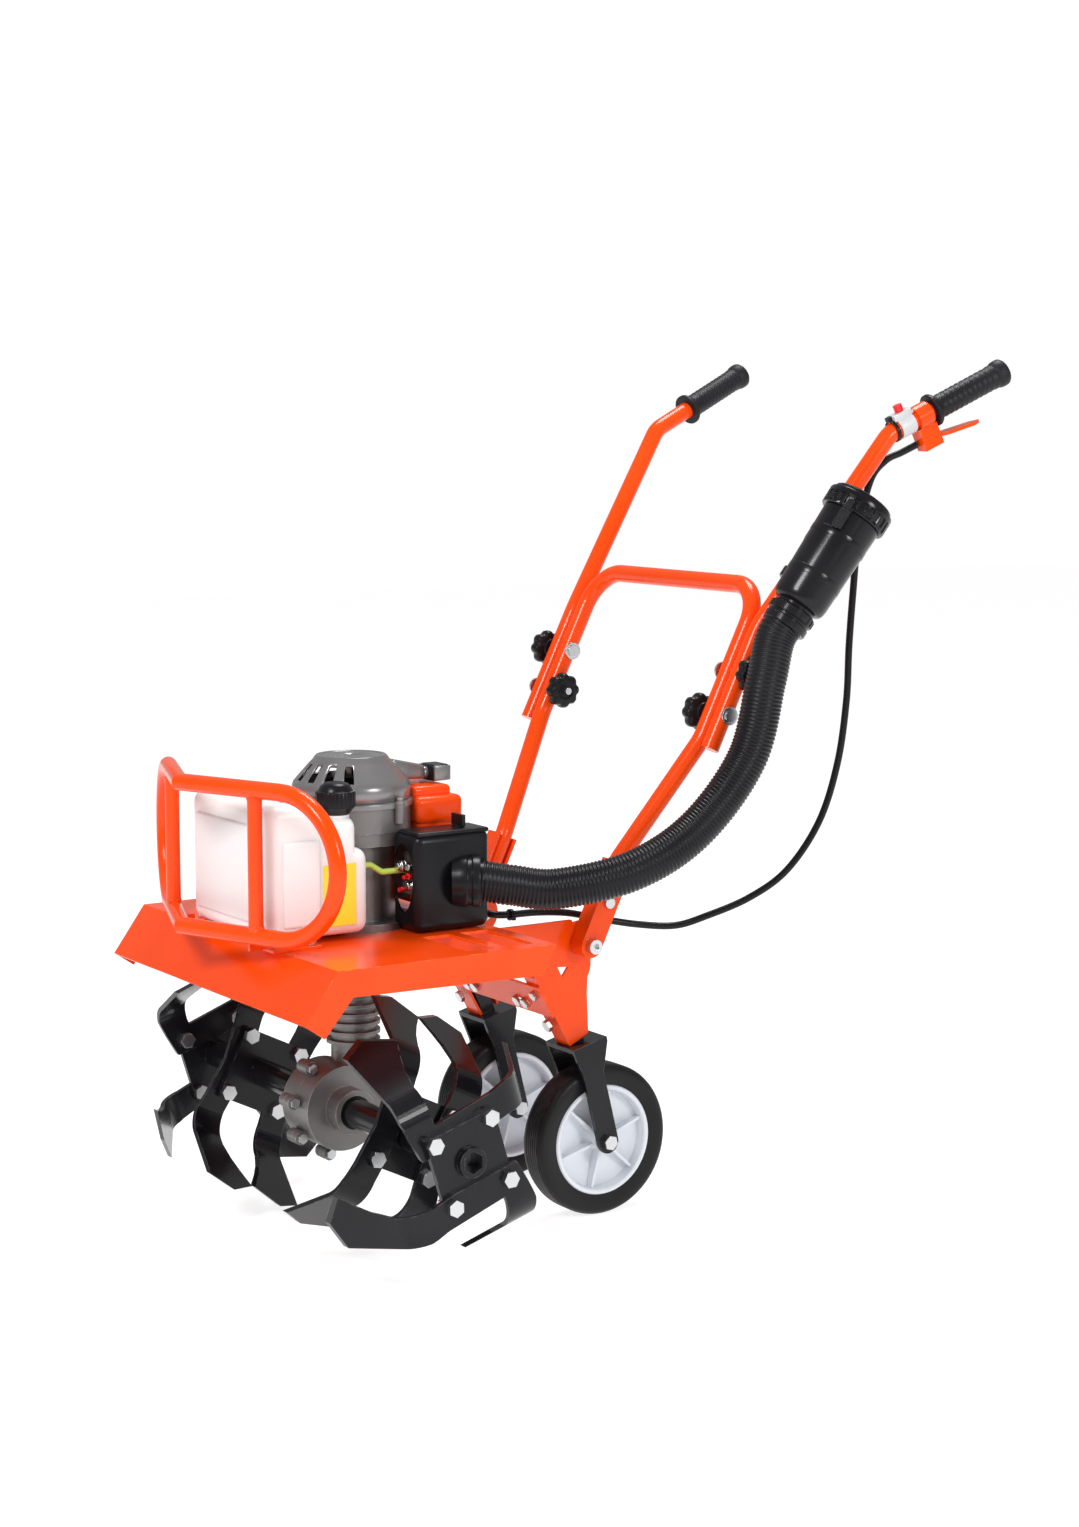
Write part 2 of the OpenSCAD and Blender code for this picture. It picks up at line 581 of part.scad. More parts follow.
module rotor_bolt(x0, x1, a) rotate([a, 0, 0]) translate([x0, 47.6, 0]) rotate([0, 90, 0]) {
  cylinder(h = x1 - x0, r = 5);
  translate([0, 0, x1 - x0]) hexhead(9, 6);
  translate([0, 0, -7]) hexhead(9, 7);
}
module rotor_bolts() shift() color("silver") sides() at_rotor() for (i = [0:3]) {
  front = i == 2 || i == 3;
  rotor_bolt(front ? 273.95 : 273.9 - blade_t, front ? 280.1 + blade_t : 280.05, 62 + 90 * i);
  rotor_bolt(159.95, 166.1 + blade_t, 108.8 + 90 * i);
}

// ---- wheels --------------------------------------------------------------

module at_axle() { at_fork() translate([0, 0, -axle_l]) rotate([0, 90, 0]) children(); }

module tyre() at_axle() rotate_extrude() {
  h = tyre_w / 2;
  polygon([[61.1, -h + 2], [76, -h], [82, -h + 3], [84, -h + 8], [84, h - 8], [82, h - 3], [76, h], [61.1, h - 2]]);
}
module rim() at_axle() {
  difference() {
    union() {
      cylinder(h = tyre_w - 6, r = 61, center = true);
      for (s = [-1, 1]) translate([0, 0, s * (tyre_w / 2 - 2.5)]) cylinder(h = 1, r = 61, center = true);
    }
    cylinder(h = 60, r = 55, center = true);
  }
  difference() {
    union() {
      cylinder(h = tyre_w, r = 13, center = true);
      for (i = [0:rim_spokes - 1]) rotate([0, 0, 360 / rim_spokes * i]) translate([10, -3.5, -6]) cube([46, 7, 12]);
      cylinder(h = 3, r = 56, center = true);
    }
    cylinder(h = 80, r = 5.05, center = true);
  }
}
module tyre_left() shift() color("dimgray") tyre();
module tyre_right() shift() color("dimgray") mirror([1, 0, 0]) tyre();
module rim_left() shift() color("white") rim();
module rim_right() shift() color("white") mirror([1, 0, 0]) rim();

// ---- handles -------------------------------------------------------------

module at_brk() { translate([0, piv[1], piv[2]]) rotate([brk_tilt, 0, 0]) children(); }
module stadium(r) { circle(r); translate([-r, 0]) square([2 * r, 95]); }

module handle_brackets() shift() color("dimgray") sides() at_brk() {
  difference() {
    plate_x(104.6, 127.2) stadium(13.2);
    plate_x(104, 124.2) { stadium(10.2); translate([-10.2, 90]) square([20.4, 20]); }
    translate([100, 0, 0]) rotate([0, 90, 0]) cylinder(h = 40, r = 5.05);
    for (z = [50, 80]) translate([110, 0, z]) rotate([0, 90, 0]) cylinder(h = 20, r = 3.05);
  }
  translate([104.6, 0, 0]) rotate([0, 90, 0]) ring(8, 5.05, 19.6);
}

lower_half = [[114.1, 213.8, 328.6], [114.1, 244, 392], [157, 325, 525], [157, 406, 687]];
function flip(p) = [-p[0], p[1], p[2]];
module knob_holes() for (p = [[338.5, 552], [360.5, 596]]) translate([-220, p[0], p[1]]) rotate([0, 90, 0])
  cylinder(h = 440, r = 4.2);

module lower_handle() shift() color("dimgray") difference() {
  tube_run(concat(lower_half, [for (i = [3:-1:0]) flip(lower_half[i])]), [60, 60, 45, 45, 60, 60], tube_r, tube_r - 1.5);
  knob_holes();
  at_brk() for (z = [50, 80]) translate([-140, 0, z]) rotate([0, 90, 0]) cylinder(h = 280, r = 3.05);
}

module upper_handles() shift() color("dimgray") sides() difference() {
  tube_run([[177.4, 320.5, 516], [177.4, 385, 645], bar_q, bar_q + bar_d], [120, 34], tube_r, tube_r - 1.5);
  knob_holes();
}

module bolt_out(x0, x1, p, r) translate([x0, p[0], p[1]]) rotate([0, 90, 0]) cylinder(h = x1 - x0, r = r);
module handle_bolts() shift() color("silver") sides() {
  bolt_out(121, 188, [338.5, 552], 4);
  bolt_out(188, 190, [338.5, 552], 10);
  bolt_out(190, 192, [338.5, 552], 7);
  bolt_out(146.6, 208, [360.5, 596], 4);
  bolt_out(144.6, 146.6, [360.5, 596], 10);
  bolt_out(142.6, 144.6, [360.5, 596], 7);
  at_brk() for (z = [50, 80]) translate([104.6, 0, z]) rotate([0, 90, 0]) {
    cylinder(h = 22.8, r = 3);
    translate([0, 0, 22.8]) cylinder(h = 3.5, r = 6);
  }
}

module grips() shift() color("black") sides() on_bar(0) rotate([-90, 0, 0]) difference() {
  union() {
    translate([0, 0, 60]) cylinder(h = 5, r = 17);
    translate([0, 0, 65]) cylinder(h = 87, r = grip_d / 2);
    translate([0, 0, 152]) cylinder(h = 8, r = grip_d / 2 + 2);
  }
  translate([0, 0, 50]) cylinder(h = 107.2, r = tube_r + 0.05);
}

module throttle_bracket() shift() color("orangered") on_bar(0) {
  translate([0, 34, 0]) rotate([-90, 0, 0]) ring(14, tube_r + 0.05, 18);
  for (s = [-1, 1]) translate([s > 0 ? 6 : -9, 30, -36]) cube([3, 24, 25]);
  translate([-9, 30, -36]) cube([18, 3, 25]);
  translate([-9, 44, -28]) rotate([0, 90, 0]) cylinder(h = 18, r = 3);
}

module throttle_lever() shift() color("orangered") on_bar(0) translate([0, 44, -28]) difference() {
  union() {
    translate([-5.8, 0, 0]) rotate([0, 90, 0]) cylinder(h = 11.6, r = 5.5);
    rotate([-9, 0, 0]) linear_extrude(4) polygon([[-5.8, 0], [-5.8, 14], [-9, 20], [-7, 56], [0, 66], [7, 56], [9, 20], [5.8, 14], [5.8, 0]]);
  }
  translate([-10, 0, 0]) rotate([0, 90, 0]) cylinder(h = 20, r = 3.05);
}

module kill_switch() shift() color("whitesmoke") on_bar(0) difference() {
  union() {
    translate([-9, 10, 0]) cube([18, 19.6, 21]);
    translate([0, 10, 0]) rotate([-90, 0, 0]) cylinder(h = 19.6, r = 14);
  }
  translate([0, 0, 0]) rotate([-90, 0, 0]) cylinder(h = 60, r = tube_r + 0.05);
  translate([0, 20, 13.5]) cylinder(h = 20, r = 5.06);
}
module kill_button() shift() color("red") on_bar(0) translate([0, 20, 16.2]) cylinder(h = 8, r = 5);

module cable_tie_handle() shift() color("black") on_bar(0) {
  translate([0, 3, 0]) rotate([-90, 0, 0]) ring(12.3, tube_r + 0.9, 4);
  translate([-4, 2, 12]) cube([7, 6, 4.5]);
}

module cable_tie_frame() shift() color("black") translate([91, 124, 342.8]) rotate([90, 0, 0]) {
  ring(cable_d / 2 + 2.2, cable_d / 2 + 0.6, 4);
  translate([5.6, -5, 0]) cube([2.4, 4, 4]);
}

// ---- air filter, hose and cable --------------------------------------------

module filter_canister() shift() color("black") difference() {
  union() {
    on_can(-20) cylinder(h = 20, r = 21);
    on_can(0) cylinder(h = 102, r1 = 30, r2 = 33);
  }
  on_can(3) cylinder(h = 110, r1 = 27.5, r2 = 30.5);
  on_can(-21) cylinder(h = 30, r = 17);
}

module canister_cap() shift() color("black") on_can(102.1) {
  difference() {
    cylinder(h = 26, r = canister_d / 2);
    translate([0, 0, -1]) cylinder(h = 23, r = canister_d / 2 - 5);
    for (a = [0:24:336]) rotate([0, 0, a]) translate([canister_d / 2 - 2, -3.5, 5]) cube([6, 7, 14]);
  }
  for (a = [-50, 130]) rotate([0, 0, a]) translate([34.4, -6, -22]) cube([2.6, 12, 22]);
}

module filter_element() shift() color("gray") on_can(12) ring(24, 14, 84);

module clamp_2d(r, p) difference() {
  union() {
    circle(r + 3);
    translate(p) circle(13.6);
    translate([-6, r]) square([13, p[1] - r - 8]);
  }
  circle(r);
  translate(p) circle(tube_r + 0.6);
}
module canister_clamps() shift() color("black") {
  on_can(20) linear_extrude(12) clamp_2d(31.2, [1.35, 52.6]);
  on_can(68) linear_extrude(12) clamp_2d(32.6, [2.05, 50.85]);
}

module knob() difference() {
  union() {
    cylinder(h = 20, r = 11);
    translate([0, 0, 5.2]) cylinder(h = 14.8, r = knob_d / 2 - 3);
    for (i = [0:knob_lobes - 1]) rotate([0, 0, 360 / knob_lobes * i])
      translate([knob_d / 2 - 4.5, 0, 5.2]) cylinder(h = 14.8, r = 4.5);
  }
  translate([0, 0, -1]) cylinder(h = 30, r = 4.05);
}
module knob_in() translate([146.6, 338.5, 552]) rotate([0, -90, 0]) knob();
module knob_out() translate([187.8, 360.5, 596]) rotate([0, 90, 0]) knob();
module knob_inner_left() shift() color("black") knob_in();
module knob_inner_right() shift() color("black") mirror([1, 0, 0]) knob_in();
module knob_outer_left() shift() color("black") knob_out();
module knob_outer_right() shift() color("black") mirror([1, 0, 0]) knob_out();

module air_hose() shift() color("dimgray") sweep(smooth(hose_pts, 4), hose_d / 2, 12);
module control_cable() shift() color("dimgray") sweep(smooth(cable_pts, 3), cable_d / 2, 8);

// ---- output ----------------------------------------------------------------

deck_panel();
side_frame_left();
side_frame_right();
rear_cross_plate();
front_bumper();
chassis_bolts();
wheel_forks();
pivot_bolts();
crankcase();
engine_cylinder();
cylinder_cover();
spark_plug();
muffler();
carburettor();
air_box();
starter_cover();
fuel_tank();
tank_label();
fuel_line();
clutch_housing();
gear_case_left();
gear_case_right();
shaft_bearings();
shaft_seals();
air_hose();
control_cable();
cable_tie_frame();
lower_handle();
handle_brackets();
upper_handles();
handle_bolts();
grips();
throttle_bracket();
kill_switch();
cable_tie_handle();
filter_canister();
canister_cap();
filter_element();
canister_clamps();
throttle_lever();
kill_button();
knob_inner_left();
knob_inner_right();
knob_outer_left();
knob_outer_right();
starter_handle();
starter_rope();
starter_pulley();
fuel_cap();
air_box_screw();
crankshaft();
worm_shaft();
tine_shaft();
rotors();
rotor_blades();
rotor_bolts();
tyre_left();
rim_left();
tyre_right();
rim_right();
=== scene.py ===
"""Looks of a walk-behind mini cultivator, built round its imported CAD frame.

Metres, +Z up, handles towards +Y. at(x, y, z) takes the CAD's own millimetres.
"""
import json
import math

import bmesh
import bpy
from mathutils import Matrix, Vector


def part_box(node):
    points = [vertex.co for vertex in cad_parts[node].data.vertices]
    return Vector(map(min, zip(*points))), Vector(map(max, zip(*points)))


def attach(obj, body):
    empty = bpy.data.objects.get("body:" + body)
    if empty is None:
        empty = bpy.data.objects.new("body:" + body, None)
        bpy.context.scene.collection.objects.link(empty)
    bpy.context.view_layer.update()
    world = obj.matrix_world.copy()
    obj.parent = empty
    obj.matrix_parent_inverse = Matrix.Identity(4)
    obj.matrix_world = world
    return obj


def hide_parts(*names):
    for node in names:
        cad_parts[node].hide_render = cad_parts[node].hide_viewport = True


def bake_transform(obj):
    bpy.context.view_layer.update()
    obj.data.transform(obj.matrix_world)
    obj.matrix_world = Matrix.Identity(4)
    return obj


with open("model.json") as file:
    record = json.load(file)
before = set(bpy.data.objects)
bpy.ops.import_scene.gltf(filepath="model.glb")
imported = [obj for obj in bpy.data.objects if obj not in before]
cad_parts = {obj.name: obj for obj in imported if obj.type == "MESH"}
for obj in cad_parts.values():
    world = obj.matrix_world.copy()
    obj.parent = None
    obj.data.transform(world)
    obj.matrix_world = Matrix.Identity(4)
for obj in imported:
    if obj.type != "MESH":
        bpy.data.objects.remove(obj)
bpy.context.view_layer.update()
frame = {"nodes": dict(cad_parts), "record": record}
MM = 0.001
SHIFT_Y = -0.2262  # the CAD's shift that centres the machine


def at(x, y, z):
    """A point given in the machine's own millimetres."""
    return Vector((x * MM, y * MM + SHIFT_Y, z * MM))


def mm(*sizes):
    """Sizes in millimetres, as metres."""
    return [size * MM for size in sizes]


def scaled(points):
    """An outline's points in millimetres, as metres."""
    return [mm(*point) for point in points]


def add_object(name, data):
    """A new object, linked to the scene."""
    obj = bpy.data.objects.new(name, data)
    bpy.context.scene.collection.objects.link(obj)
    return obj


# ---- camera ----------------------------------------------------------------

# its place, direction and lens were solved from the photo
cam = add_object("camera", bpy.data.cameras.new("camera"))
bpy.context.scene.camera = cam
cam.data.sensor_width = 36
cam.data.lens = 65.93
cam.location = (2.5684, -1.6879, 0.8861)
az, el = math.radians(56.806), math.radians(7.375)
back = Vector((math.sin(az) * math.cos(el), -math.cos(az) * math.cos(el), math.sin(el)))
cam.rotation_mode = "QUATERNION"
cam.rotation_quaternion = (-back).to_track_quat("-Z", "Y")
cam.data.clip_start, cam.data.clip_end = 0.01, 50


# ---- materials ---------------------------------------------------------------

def link(tree, a, b):
    """Joins an output socket to an input socket."""
    tree.links.new(a, b)


def material(name, base, rough=0.4, metal=0.0, coat=0.0, vary=0.08, blotch=9.0, grain=600.0,
             bump=0.1, edge_wear_and_highlight=None, edge_wear_and_highlight_amount=0.0, edge=0.0007, sub=0.0, bumps=None, spec=0.5):
    """Paint, plastic or metal with colour variation, grain, rounded edges and a lighter edge
    colour: edge wear on most materials, a painted highlight on the orange paint.
    """
    m = bpy.data.materials.new(name)
    m.use_nodes = True
    t = m.node_tree
    n = t.nodes
    bsdf = n["Principled BSDF"]
    coord = n.new("ShaderNodeTexCoord")
    big = n.new("ShaderNodeTexNoise")
    big.inputs["Scale"].default_value = blotch
    big.inputs["Detail"].default_value = 6
    link(t, coord.outputs["Object"], big.inputs["Vector"])
    ramp = n.new("ShaderNodeValToRGB")
    ramp.color_ramp.elements[0].position = 0.3
    ramp.color_ramp.elements[1].position = 0.7
    ramp.color_ramp.elements[0].color = [c * (1 - vary) for c in base] + [1]
    ramp.color_ramp.elements[1].color = [min(1, c * (1 + vary) + 0.004) for c in base] + [1]
    link(t, big.outputs["Fac"], ramp.inputs["Fac"])
    colour = ramp.outputs["Color"]

    small = n.new("ShaderNodeTexNoise")
    small.inputs["Scale"].default_value = grain
    small.inputs["Detail"].default_value = 3
    link(t, coord.outputs["Object"], small.inputs["Vector"])
    height = small.outputs["Fac"]
    if bumps:
        height = bumps(t, coord, height)
    rounded = n.new("ShaderNodeBevel")
    rounded.samples = 6
    rounded.inputs["Radius"].default_value = edge
    tilt = n.new("ShaderNodeBump")
    tilt.inputs["Strength"].default_value = bump
    tilt.inputs["Distance"].default_value = 0.0004
    link(t, height, tilt.inputs["Height"])
    link(t, rounded.outputs["Normal"], tilt.inputs["Normal"])
    link(t, tilt.outputs["Normal"], bsdf.inputs["Normal"])

    gloss = n.new("ShaderNodeMapRange")
    gloss.inputs["To Min"].default_value = rough * 0.75
    gloss.inputs["To Max"].default_value = min(1, rough * 1.3)
    link(t, big.outputs["Fac"], gloss.inputs["Value"])
    shine = gloss.outputs["Result"]

    # a lighter colour on spots of the edges: edge wear on most materials, a painted highlight along
    # the folds on the orange paint
    if edge_wear_and_highlight:
        geo = n.new("ShaderNodeNewGeometry")
        dot = n.new("ShaderNodeVectorMath")
        dot.operation = "DOT_PRODUCT"
        wide = n.new("ShaderNodeBevel")
        wide.samples = 4
        wide.inputs["Radius"].default_value = edge * 2
        link(t, wide.outputs["Normal"], dot.inputs[0])
        link(t, geo.outputs["Normal"], dot.inputs[1])
        mask = n.new("ShaderNodeMapRange")
        mask.inputs["From Min"].default_value = 0.995
        mask.inputs["From Max"].default_value = 0.93
        link(t, dot.outputs["Value"], mask.inputs["Value"])
        patch = n.new("ShaderNodeTexNoise")
        patch.inputs["Scale"].default_value = 90
        patch.inputs["Detail"].default_value = 5
        link(t, coord.outputs["Object"], patch.inputs["Vector"])
        spots = n.new("ShaderNodeMapRange")
        spots.inputs["From Min"].default_value = 0.62 - 0.25 * edge_wear_and_highlight_amount
        spots.inputs["From Max"].default_value = 0.72 - 0.2 * edge_wear_and_highlight_amount
        link(t, patch.outputs["Fac"], spots.inputs["Value"])
        both = n.new("ShaderNodeMath")
        both.operation = "MULTIPLY"
        link(t, mask.outputs["Result"], both.inputs[0])
        link(t, spots.outputs["Result"], both.inputs[1])
        mix = n.new("ShaderNodeMix")
        mix.data_type = "RGBA"
        link(t, both.outputs["Value"], mix.inputs["Factor"])
        link(t, colour, mix.inputs["A"])
        mix.inputs["B"].default_value = list(edge_wear_and_highlight) + [1]
        colour = mix.outputs["Result"]
    link(t, colour, bsdf.inputs["Base Color"])
    link(t, shine, bsdf.inputs["Roughness"])
    bsdf.inputs["Metallic"].default_value = metal
    bsdf.inputs["Specular IOR Level"].default_value = spec
    bsdf.inputs["Coat Weight"].default_value = coat
    bsdf.inputs["Coat Roughness"].default_value = 0.08
    if sub:
        bsdf.inputs["Subsurface Weight"].default_value = sub
        bsdf.inputs["Subsurface Radius"].default_value = (0.02, 0.02, 0.018)
        bsdf.inputs["Subsurface Scale"].default_value = 1.0
    return m


def diamonds(t, coord, grain):
    """Crossed ridges of a moulded grip, added to the grain."""
    total = grain
    for turn in (0.6, -0.6):
        place = t.nodes.new("ShaderNodeMapping")
        place.inputs["Rotation"].default_value = (turn, turn, turn)
        link(t, coord.outputs["Object"], place.inputs["Vector"])
        wave = t.nodes.new("ShaderNodeTexWave")
        wave.inputs["Scale"].default_value = 120
        link(t, place.outputs["Vector"], wave.inputs["Vector"])
        add = t.nodes.new("ShaderNodeMath")
        add.operation = "ADD"
        link(t, total, add.inputs[0])
        link(t, wave.outputs["Fac"], add.inputs[1])
        total = add.outputs["Value"]
    return total


MAT = {
    # the orange paint's lighter edge colour is a painted highlight along its folded edges
    "orange_paint": material("orange_paint", (0.88, 0.064, 0.0), 0.2, coat=0.12, vary=0.05,
                             grain=900, bump=0.05, edge_wear_and_highlight=(0.95, 0.2, 0.06), edge_wear_and_highlight_amount=0.5,
                             spec=0.2),
    "black_paint": material("black_paint", (0.006, 0.006, 0.008), 0.22, coat=0.1, vary=0.3,
                            grain=700, bump=0.1, edge_wear_and_highlight=(0.09, 0.09, 0.10), edge_wear_and_highlight_amount=0.7,
                            spec=0.22),
    "zinc": material("zinc", (0.62, 0.63, 0.64), 0.28, metal=1.0, vary=0.12, grain=1200,
                     bump=0.08),
    "cast_alloy": material("cast_alloy", (0.20, 0.195, 0.19), 0.4, metal=0.75, vary=0.2,
                           grain=450, bump=0.35, edge_wear_and_highlight=(0.5, 0.5, 0.5), edge_wear_and_highlight_amount=0.7),
    "orange_plastic": material("orange_plastic", (0.88, 0.06, 0.0), 0.2, coat=0.12, vary=0.04,
                               grain=800, bump=0.05, edge=0.0015, spec=0.2),
    "black_plastic": material("black_plastic", (0.006, 0.006, 0.008), 0.3, vary=0.2, grain=700,
                              bump=0.12, spec=0.22),
    "black_gloss_plastic": material("black_gloss_plastic", (0.005, 0.005, 0.007), 0.2, coat=0.08,
                                    vary=0.15, grain=500, bump=0.05, spec=0.22),
    "tank_plastic": material("tank_plastic", (0.86, 0.86, 0.85), 0.35, vary=0.03, grain=400,
                             bump=0.08, sub=0.35, edge=0.002),
    "label_yellow": material("label_yellow", (0.92, 0.72, 0.02), 0.35, vary=0.04, grain=500,
                             bump=0.03),
    "fuel_line": material("fuel_line", (0.55, 0.75, 0.12), 0.25, vary=0.1, grain=400, bump=0.05,
                          sub=0.2),
    "hose": material("hose", (0.006, 0.006, 0.008), 0.3, vary=0.25, grain=600, bump=0.15,
                     spec=0.22),
    "grip_rubber": material("grip_rubber", (0.008, 0.008, 0.011), 0.42, vary=0.2, grain=900,
                            bump=0.22, bumps=diamonds, spec=0.22),
    "tyre": material("tyre", (0.007, 0.007, 0.008), 0.4, vary=0.25, grain=500, bump=0.25,
                     edge_wear_and_highlight=(0.04, 0.038, 0.035), edge_wear_and_highlight_amount=0.6, spec=0.22),
    "rim_plastic": material("rim_plastic", (0.72, 0.75, 0.80), 0.35, vary=0.05, grain=500,
                            bump=0.08),
    "steel": material("steel", (0.5, 0.5, 0.52), 0.3, metal=1.0, vary=0.1, grain=900, bump=0.1),
    "switch_plastic": material("switch_plastic", (0.55, 0.56, 0.57), 0.35, vary=0.05, grain=600,
                               bump=0.08),
    "red_plastic": material("red_plastic", (0.7, 0.01, 0.01), 0.25, vary=0.05, grain=600,
                            bump=0.05),
    "silver_plastic": material("silver_plastic", (0.24, 0.235, 0.24), 0.25, metal=0.6, vary=0.08,
                               grain=700, bump=0.08, edge=0.0012),
    "rope": material("rope", (0.6, 0.6, 0.58), 0.8, vary=0.1, grain=500, bump=0.4),
    "foam": material("foam", (0.05, 0.05, 0.05), 0.9, vary=0.2, grain=300, bump=0.6),
    "exhaust": material("exhaust", (0.03, 0.03, 0.03), 0.6, metal=0.4, vary=0.3, grain=400,
                        bump=0.3),
}
slots = {s["node"]: s["material_slot"] for s in frame["record"]["subparts"]}
for node, obj in frame["nodes"].items():
    obj.data.materials.clear()
    obj.data.materials.append(MAT[slots[node]])


# ---- mesh building -------------------------------------------------------------

def smooth(mesh, angle):
    """Shades a mesh smooth, apart from edges sharper than the angle in degrees."""
    for p in mesh.polygons:
        p.use_smooth = True
    mesh.set_sharp_from_angle(angle=math.radians(angle))


def settle(obj, slot, body, stands_for):
    """Gives a piece its material, its CAD body and the nodes that it stands for."""
    obj.data.materials.append(MAT[slot])
    if body:
        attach(obj, body)
    if stands_for:
        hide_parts(*stands_for)
    return obj


def piece(name, verts, faces, slot, body=None, stands_for=(), angle=35, bevel=0.0):
    """A smooth piece from points and faces. bevel rounds its edges of over 30 degrees."""
    mesh = bpy.data.meshes.new(name)
    mesh.from_pydata([tuple(v) for v in verts], [], faces)
    bm = bmesh.new()
    bm.from_mesh(mesh)
    if bevel:
        edges = [e for e in bm.edges
                 if len(e.link_faces) == 2 and e.calc_face_angle(0) > math.radians(30)]
        bmesh.ops.bevel(bm, geom=edges, offset=bevel, segments=3, profile=0.5,
                        affect="EDGES", clamp_overlap=True)
    bmesh.ops.recalc_face_normals(bm, faces=bm.faces)
    bm.to_mesh(mesh)
    bm.free()
    smooth(mesh, angle)
    return settle(add_object(name, mesh), slot, body, stands_for)


class Shape:
    """Gathers several closed shapes into one mesh."""

    def __init__(self):
        self.verts, self.faces = [], []

    def add(self, verts, faces, m=None):
        """Adds a shape, moved by the matrix m."""
        k = len(self.verts)
        self.verts += [m @ Vector(v) if m else Vector(v) for v in verts]
        self.faces += [[i + k for i in f] for f in faces]
        return self

    def mirror(self):
        """Adds the same again on the other side of the machine."""
        return self.add([(-v[0], v[1], v[2]) for v in self.verts],
                        [list(reversed(f)) for f in self.faces])


def unit(v):
    """The vector at length 1."""
    return v.normalized()


def rounded_path(points, radii, steps=10):
    """Points with their corners rounded to the bend radii, as a bent tube's middle line."""
    out = [points[0]]
    for i in range(1, len(points) - 1):
        a, c, b, r = points[i - 1], points[i], points[i + 1], radii[i - 1] * MM
        d1, d2 = unit(c - a), unit(b - c)
        g = d1.angle(d2)
        n = unit(d2 - d2.dot(d1) * d1)
        o = c - r * math.tan(g / 2) * d1 + r * n
        out += [o - r * math.cos(g * j / steps) * n + r * math.sin(g * j / steps) * d1
                for j in range(steps + 1)]
    return out + [points[-1]]


def catmull(points, k):
    """A smooth curve through the points, k steps in each stretch."""
    out = []
    for i in range(len(points) - 1):
        a, b = points[max(i - 1, 0)], points[i]
        c, d = points[i + 1], points[min(i + 2, len(points) - 1)]
        for j in range(k):
            t = j / k
            out.append(0.5 * (2 * b + (c - a) * t + (2 * a - 5 * b + 4 * c - d) * t * t
                              + (3 * b - a - 3 * c + d) * t ** 3))
    return out + [points[-1]]


def even(points, step):
    """The same line cut into equal steps."""
    out, left = [points[0]], step
    for a, b in zip(points, points[1:]):
        d = (b - a).length
        s = left
        while s <= d:
            out.append(a.lerp(b, s / d))
            s += step
        left = s - d
    return out


def ring_faces(rows, sides):
    """The side faces of rows of points that go round an axis."""
    faces = []
    for i in range(rows - 1):
        for j in range(sides):
            k = (j + 1) % sides
            faces.append([i * sides + j, i * sides + k, (i + 1) * sides + k, (i + 1) * sides + j])
    return faces


def end_caps(rows, sides):
    """The two flat ends of such rows."""
    return [list(range(sides - 1, -1, -1)), [(rows - 1) * sides + j for j in range(sides)]]


def tube(points, radius, sides=28):
    """A round tube along points. radius is a number or a function of (step, count)."""
    verts = []
    up = Vector((0.3, -0.2, 1))  # runs along none of the tubes
    n = len(points)
    for i, p in enumerate(points):
        t = unit(points[min(i + 1, n - 1)] - points[max(i - 1, 0)])
        up = unit(up - up.dot(t) * t)
        side = t.cross(up)
        r = radius(i, n) if callable(radius) else radius
        for j in range(sides):
            a = 2 * math.pi * j / sides
            verts.append(p + r * (math.cos(a) * up + math.sin(a) * side))
    return verts, ring_faces(n, sides) + end_caps(n, sides)


def turned(profile, sides=48, wave=None):
    """A profile of (radius, height) turned about Z. wave(angle, i) scales the radius."""
    verts = []
    n = len(profile)
    for i, (r, z) in enumerate(profile):
        for j in range(sides):
            a = 2 * math.pi * j / sides
            k = wave(a, i) if wave else 1
            verts.append((r * k * math.cos(a), r * k * math.sin(a), z))
    return verts, ring_faces(n, sides) + end_caps(n, sides)


def closed_turn(profile, sides):
    """A closed outline of (radius, height) turned about Z: a ring."""
    v, f = turned(profile, sides)
    last = (len(profile) - 1) * sides
    return v, f[:-2] + [[last + j, last + (j + 1) % sides, (j + 1) % sides, j]
                        for j in range(sides)]


def block(lo, hi):
    """A box's corners and faces."""
    v = [(x, y, z) for x in (lo[0], hi[0]) for y in (lo[1], hi[1]) for z in (lo[2], hi[2])]
    return v, [[0, 1, 3, 2], [4, 6, 7, 5], [0, 4, 5, 1], [2, 3, 7, 6], [0, 2, 6, 4], [1, 5, 7, 3]]


def side_block(sx, x, y, z):
    """A block on the left (sx = 1) or right side, from its two limits on each axis."""
    low, high = sorted((sx * x[0], sx * x[1]))
    return block(at(low, y[0], z[0]), at(high, y[1], z[1]))


def prism(outline, depth):
    """An outline of (x, y) points raised by depth along Z."""
    n = len(outline)
    v = [(x, y, 0) for x, y in outline] + [(x, y, depth) for x, y in outline]
    f = [list(range(n - 1, -1, -1)), list(range(n, 2 * n))]
    return v, f + [[i, (i + 1) % n, n + (i + 1) % n, n + i] for i in range(n)]


def place(origin, z, x=None):
    """A matrix that puts local Z along z and local X near x."""
    z = unit(Vector(z))
    x = Vector(x) if x else (Vector((1, 0, 0)) if abs(z.x) < 0.9 else Vector((0, 1, 0)))
    x = unit(x - x.dot(z) * z)
    y = z.cross(x)
    m = Matrix((x, y, z)).transposed().to_4x4()
    m.translation = origin
    return m


# ---- handle tubes --------------------------------------------------------------

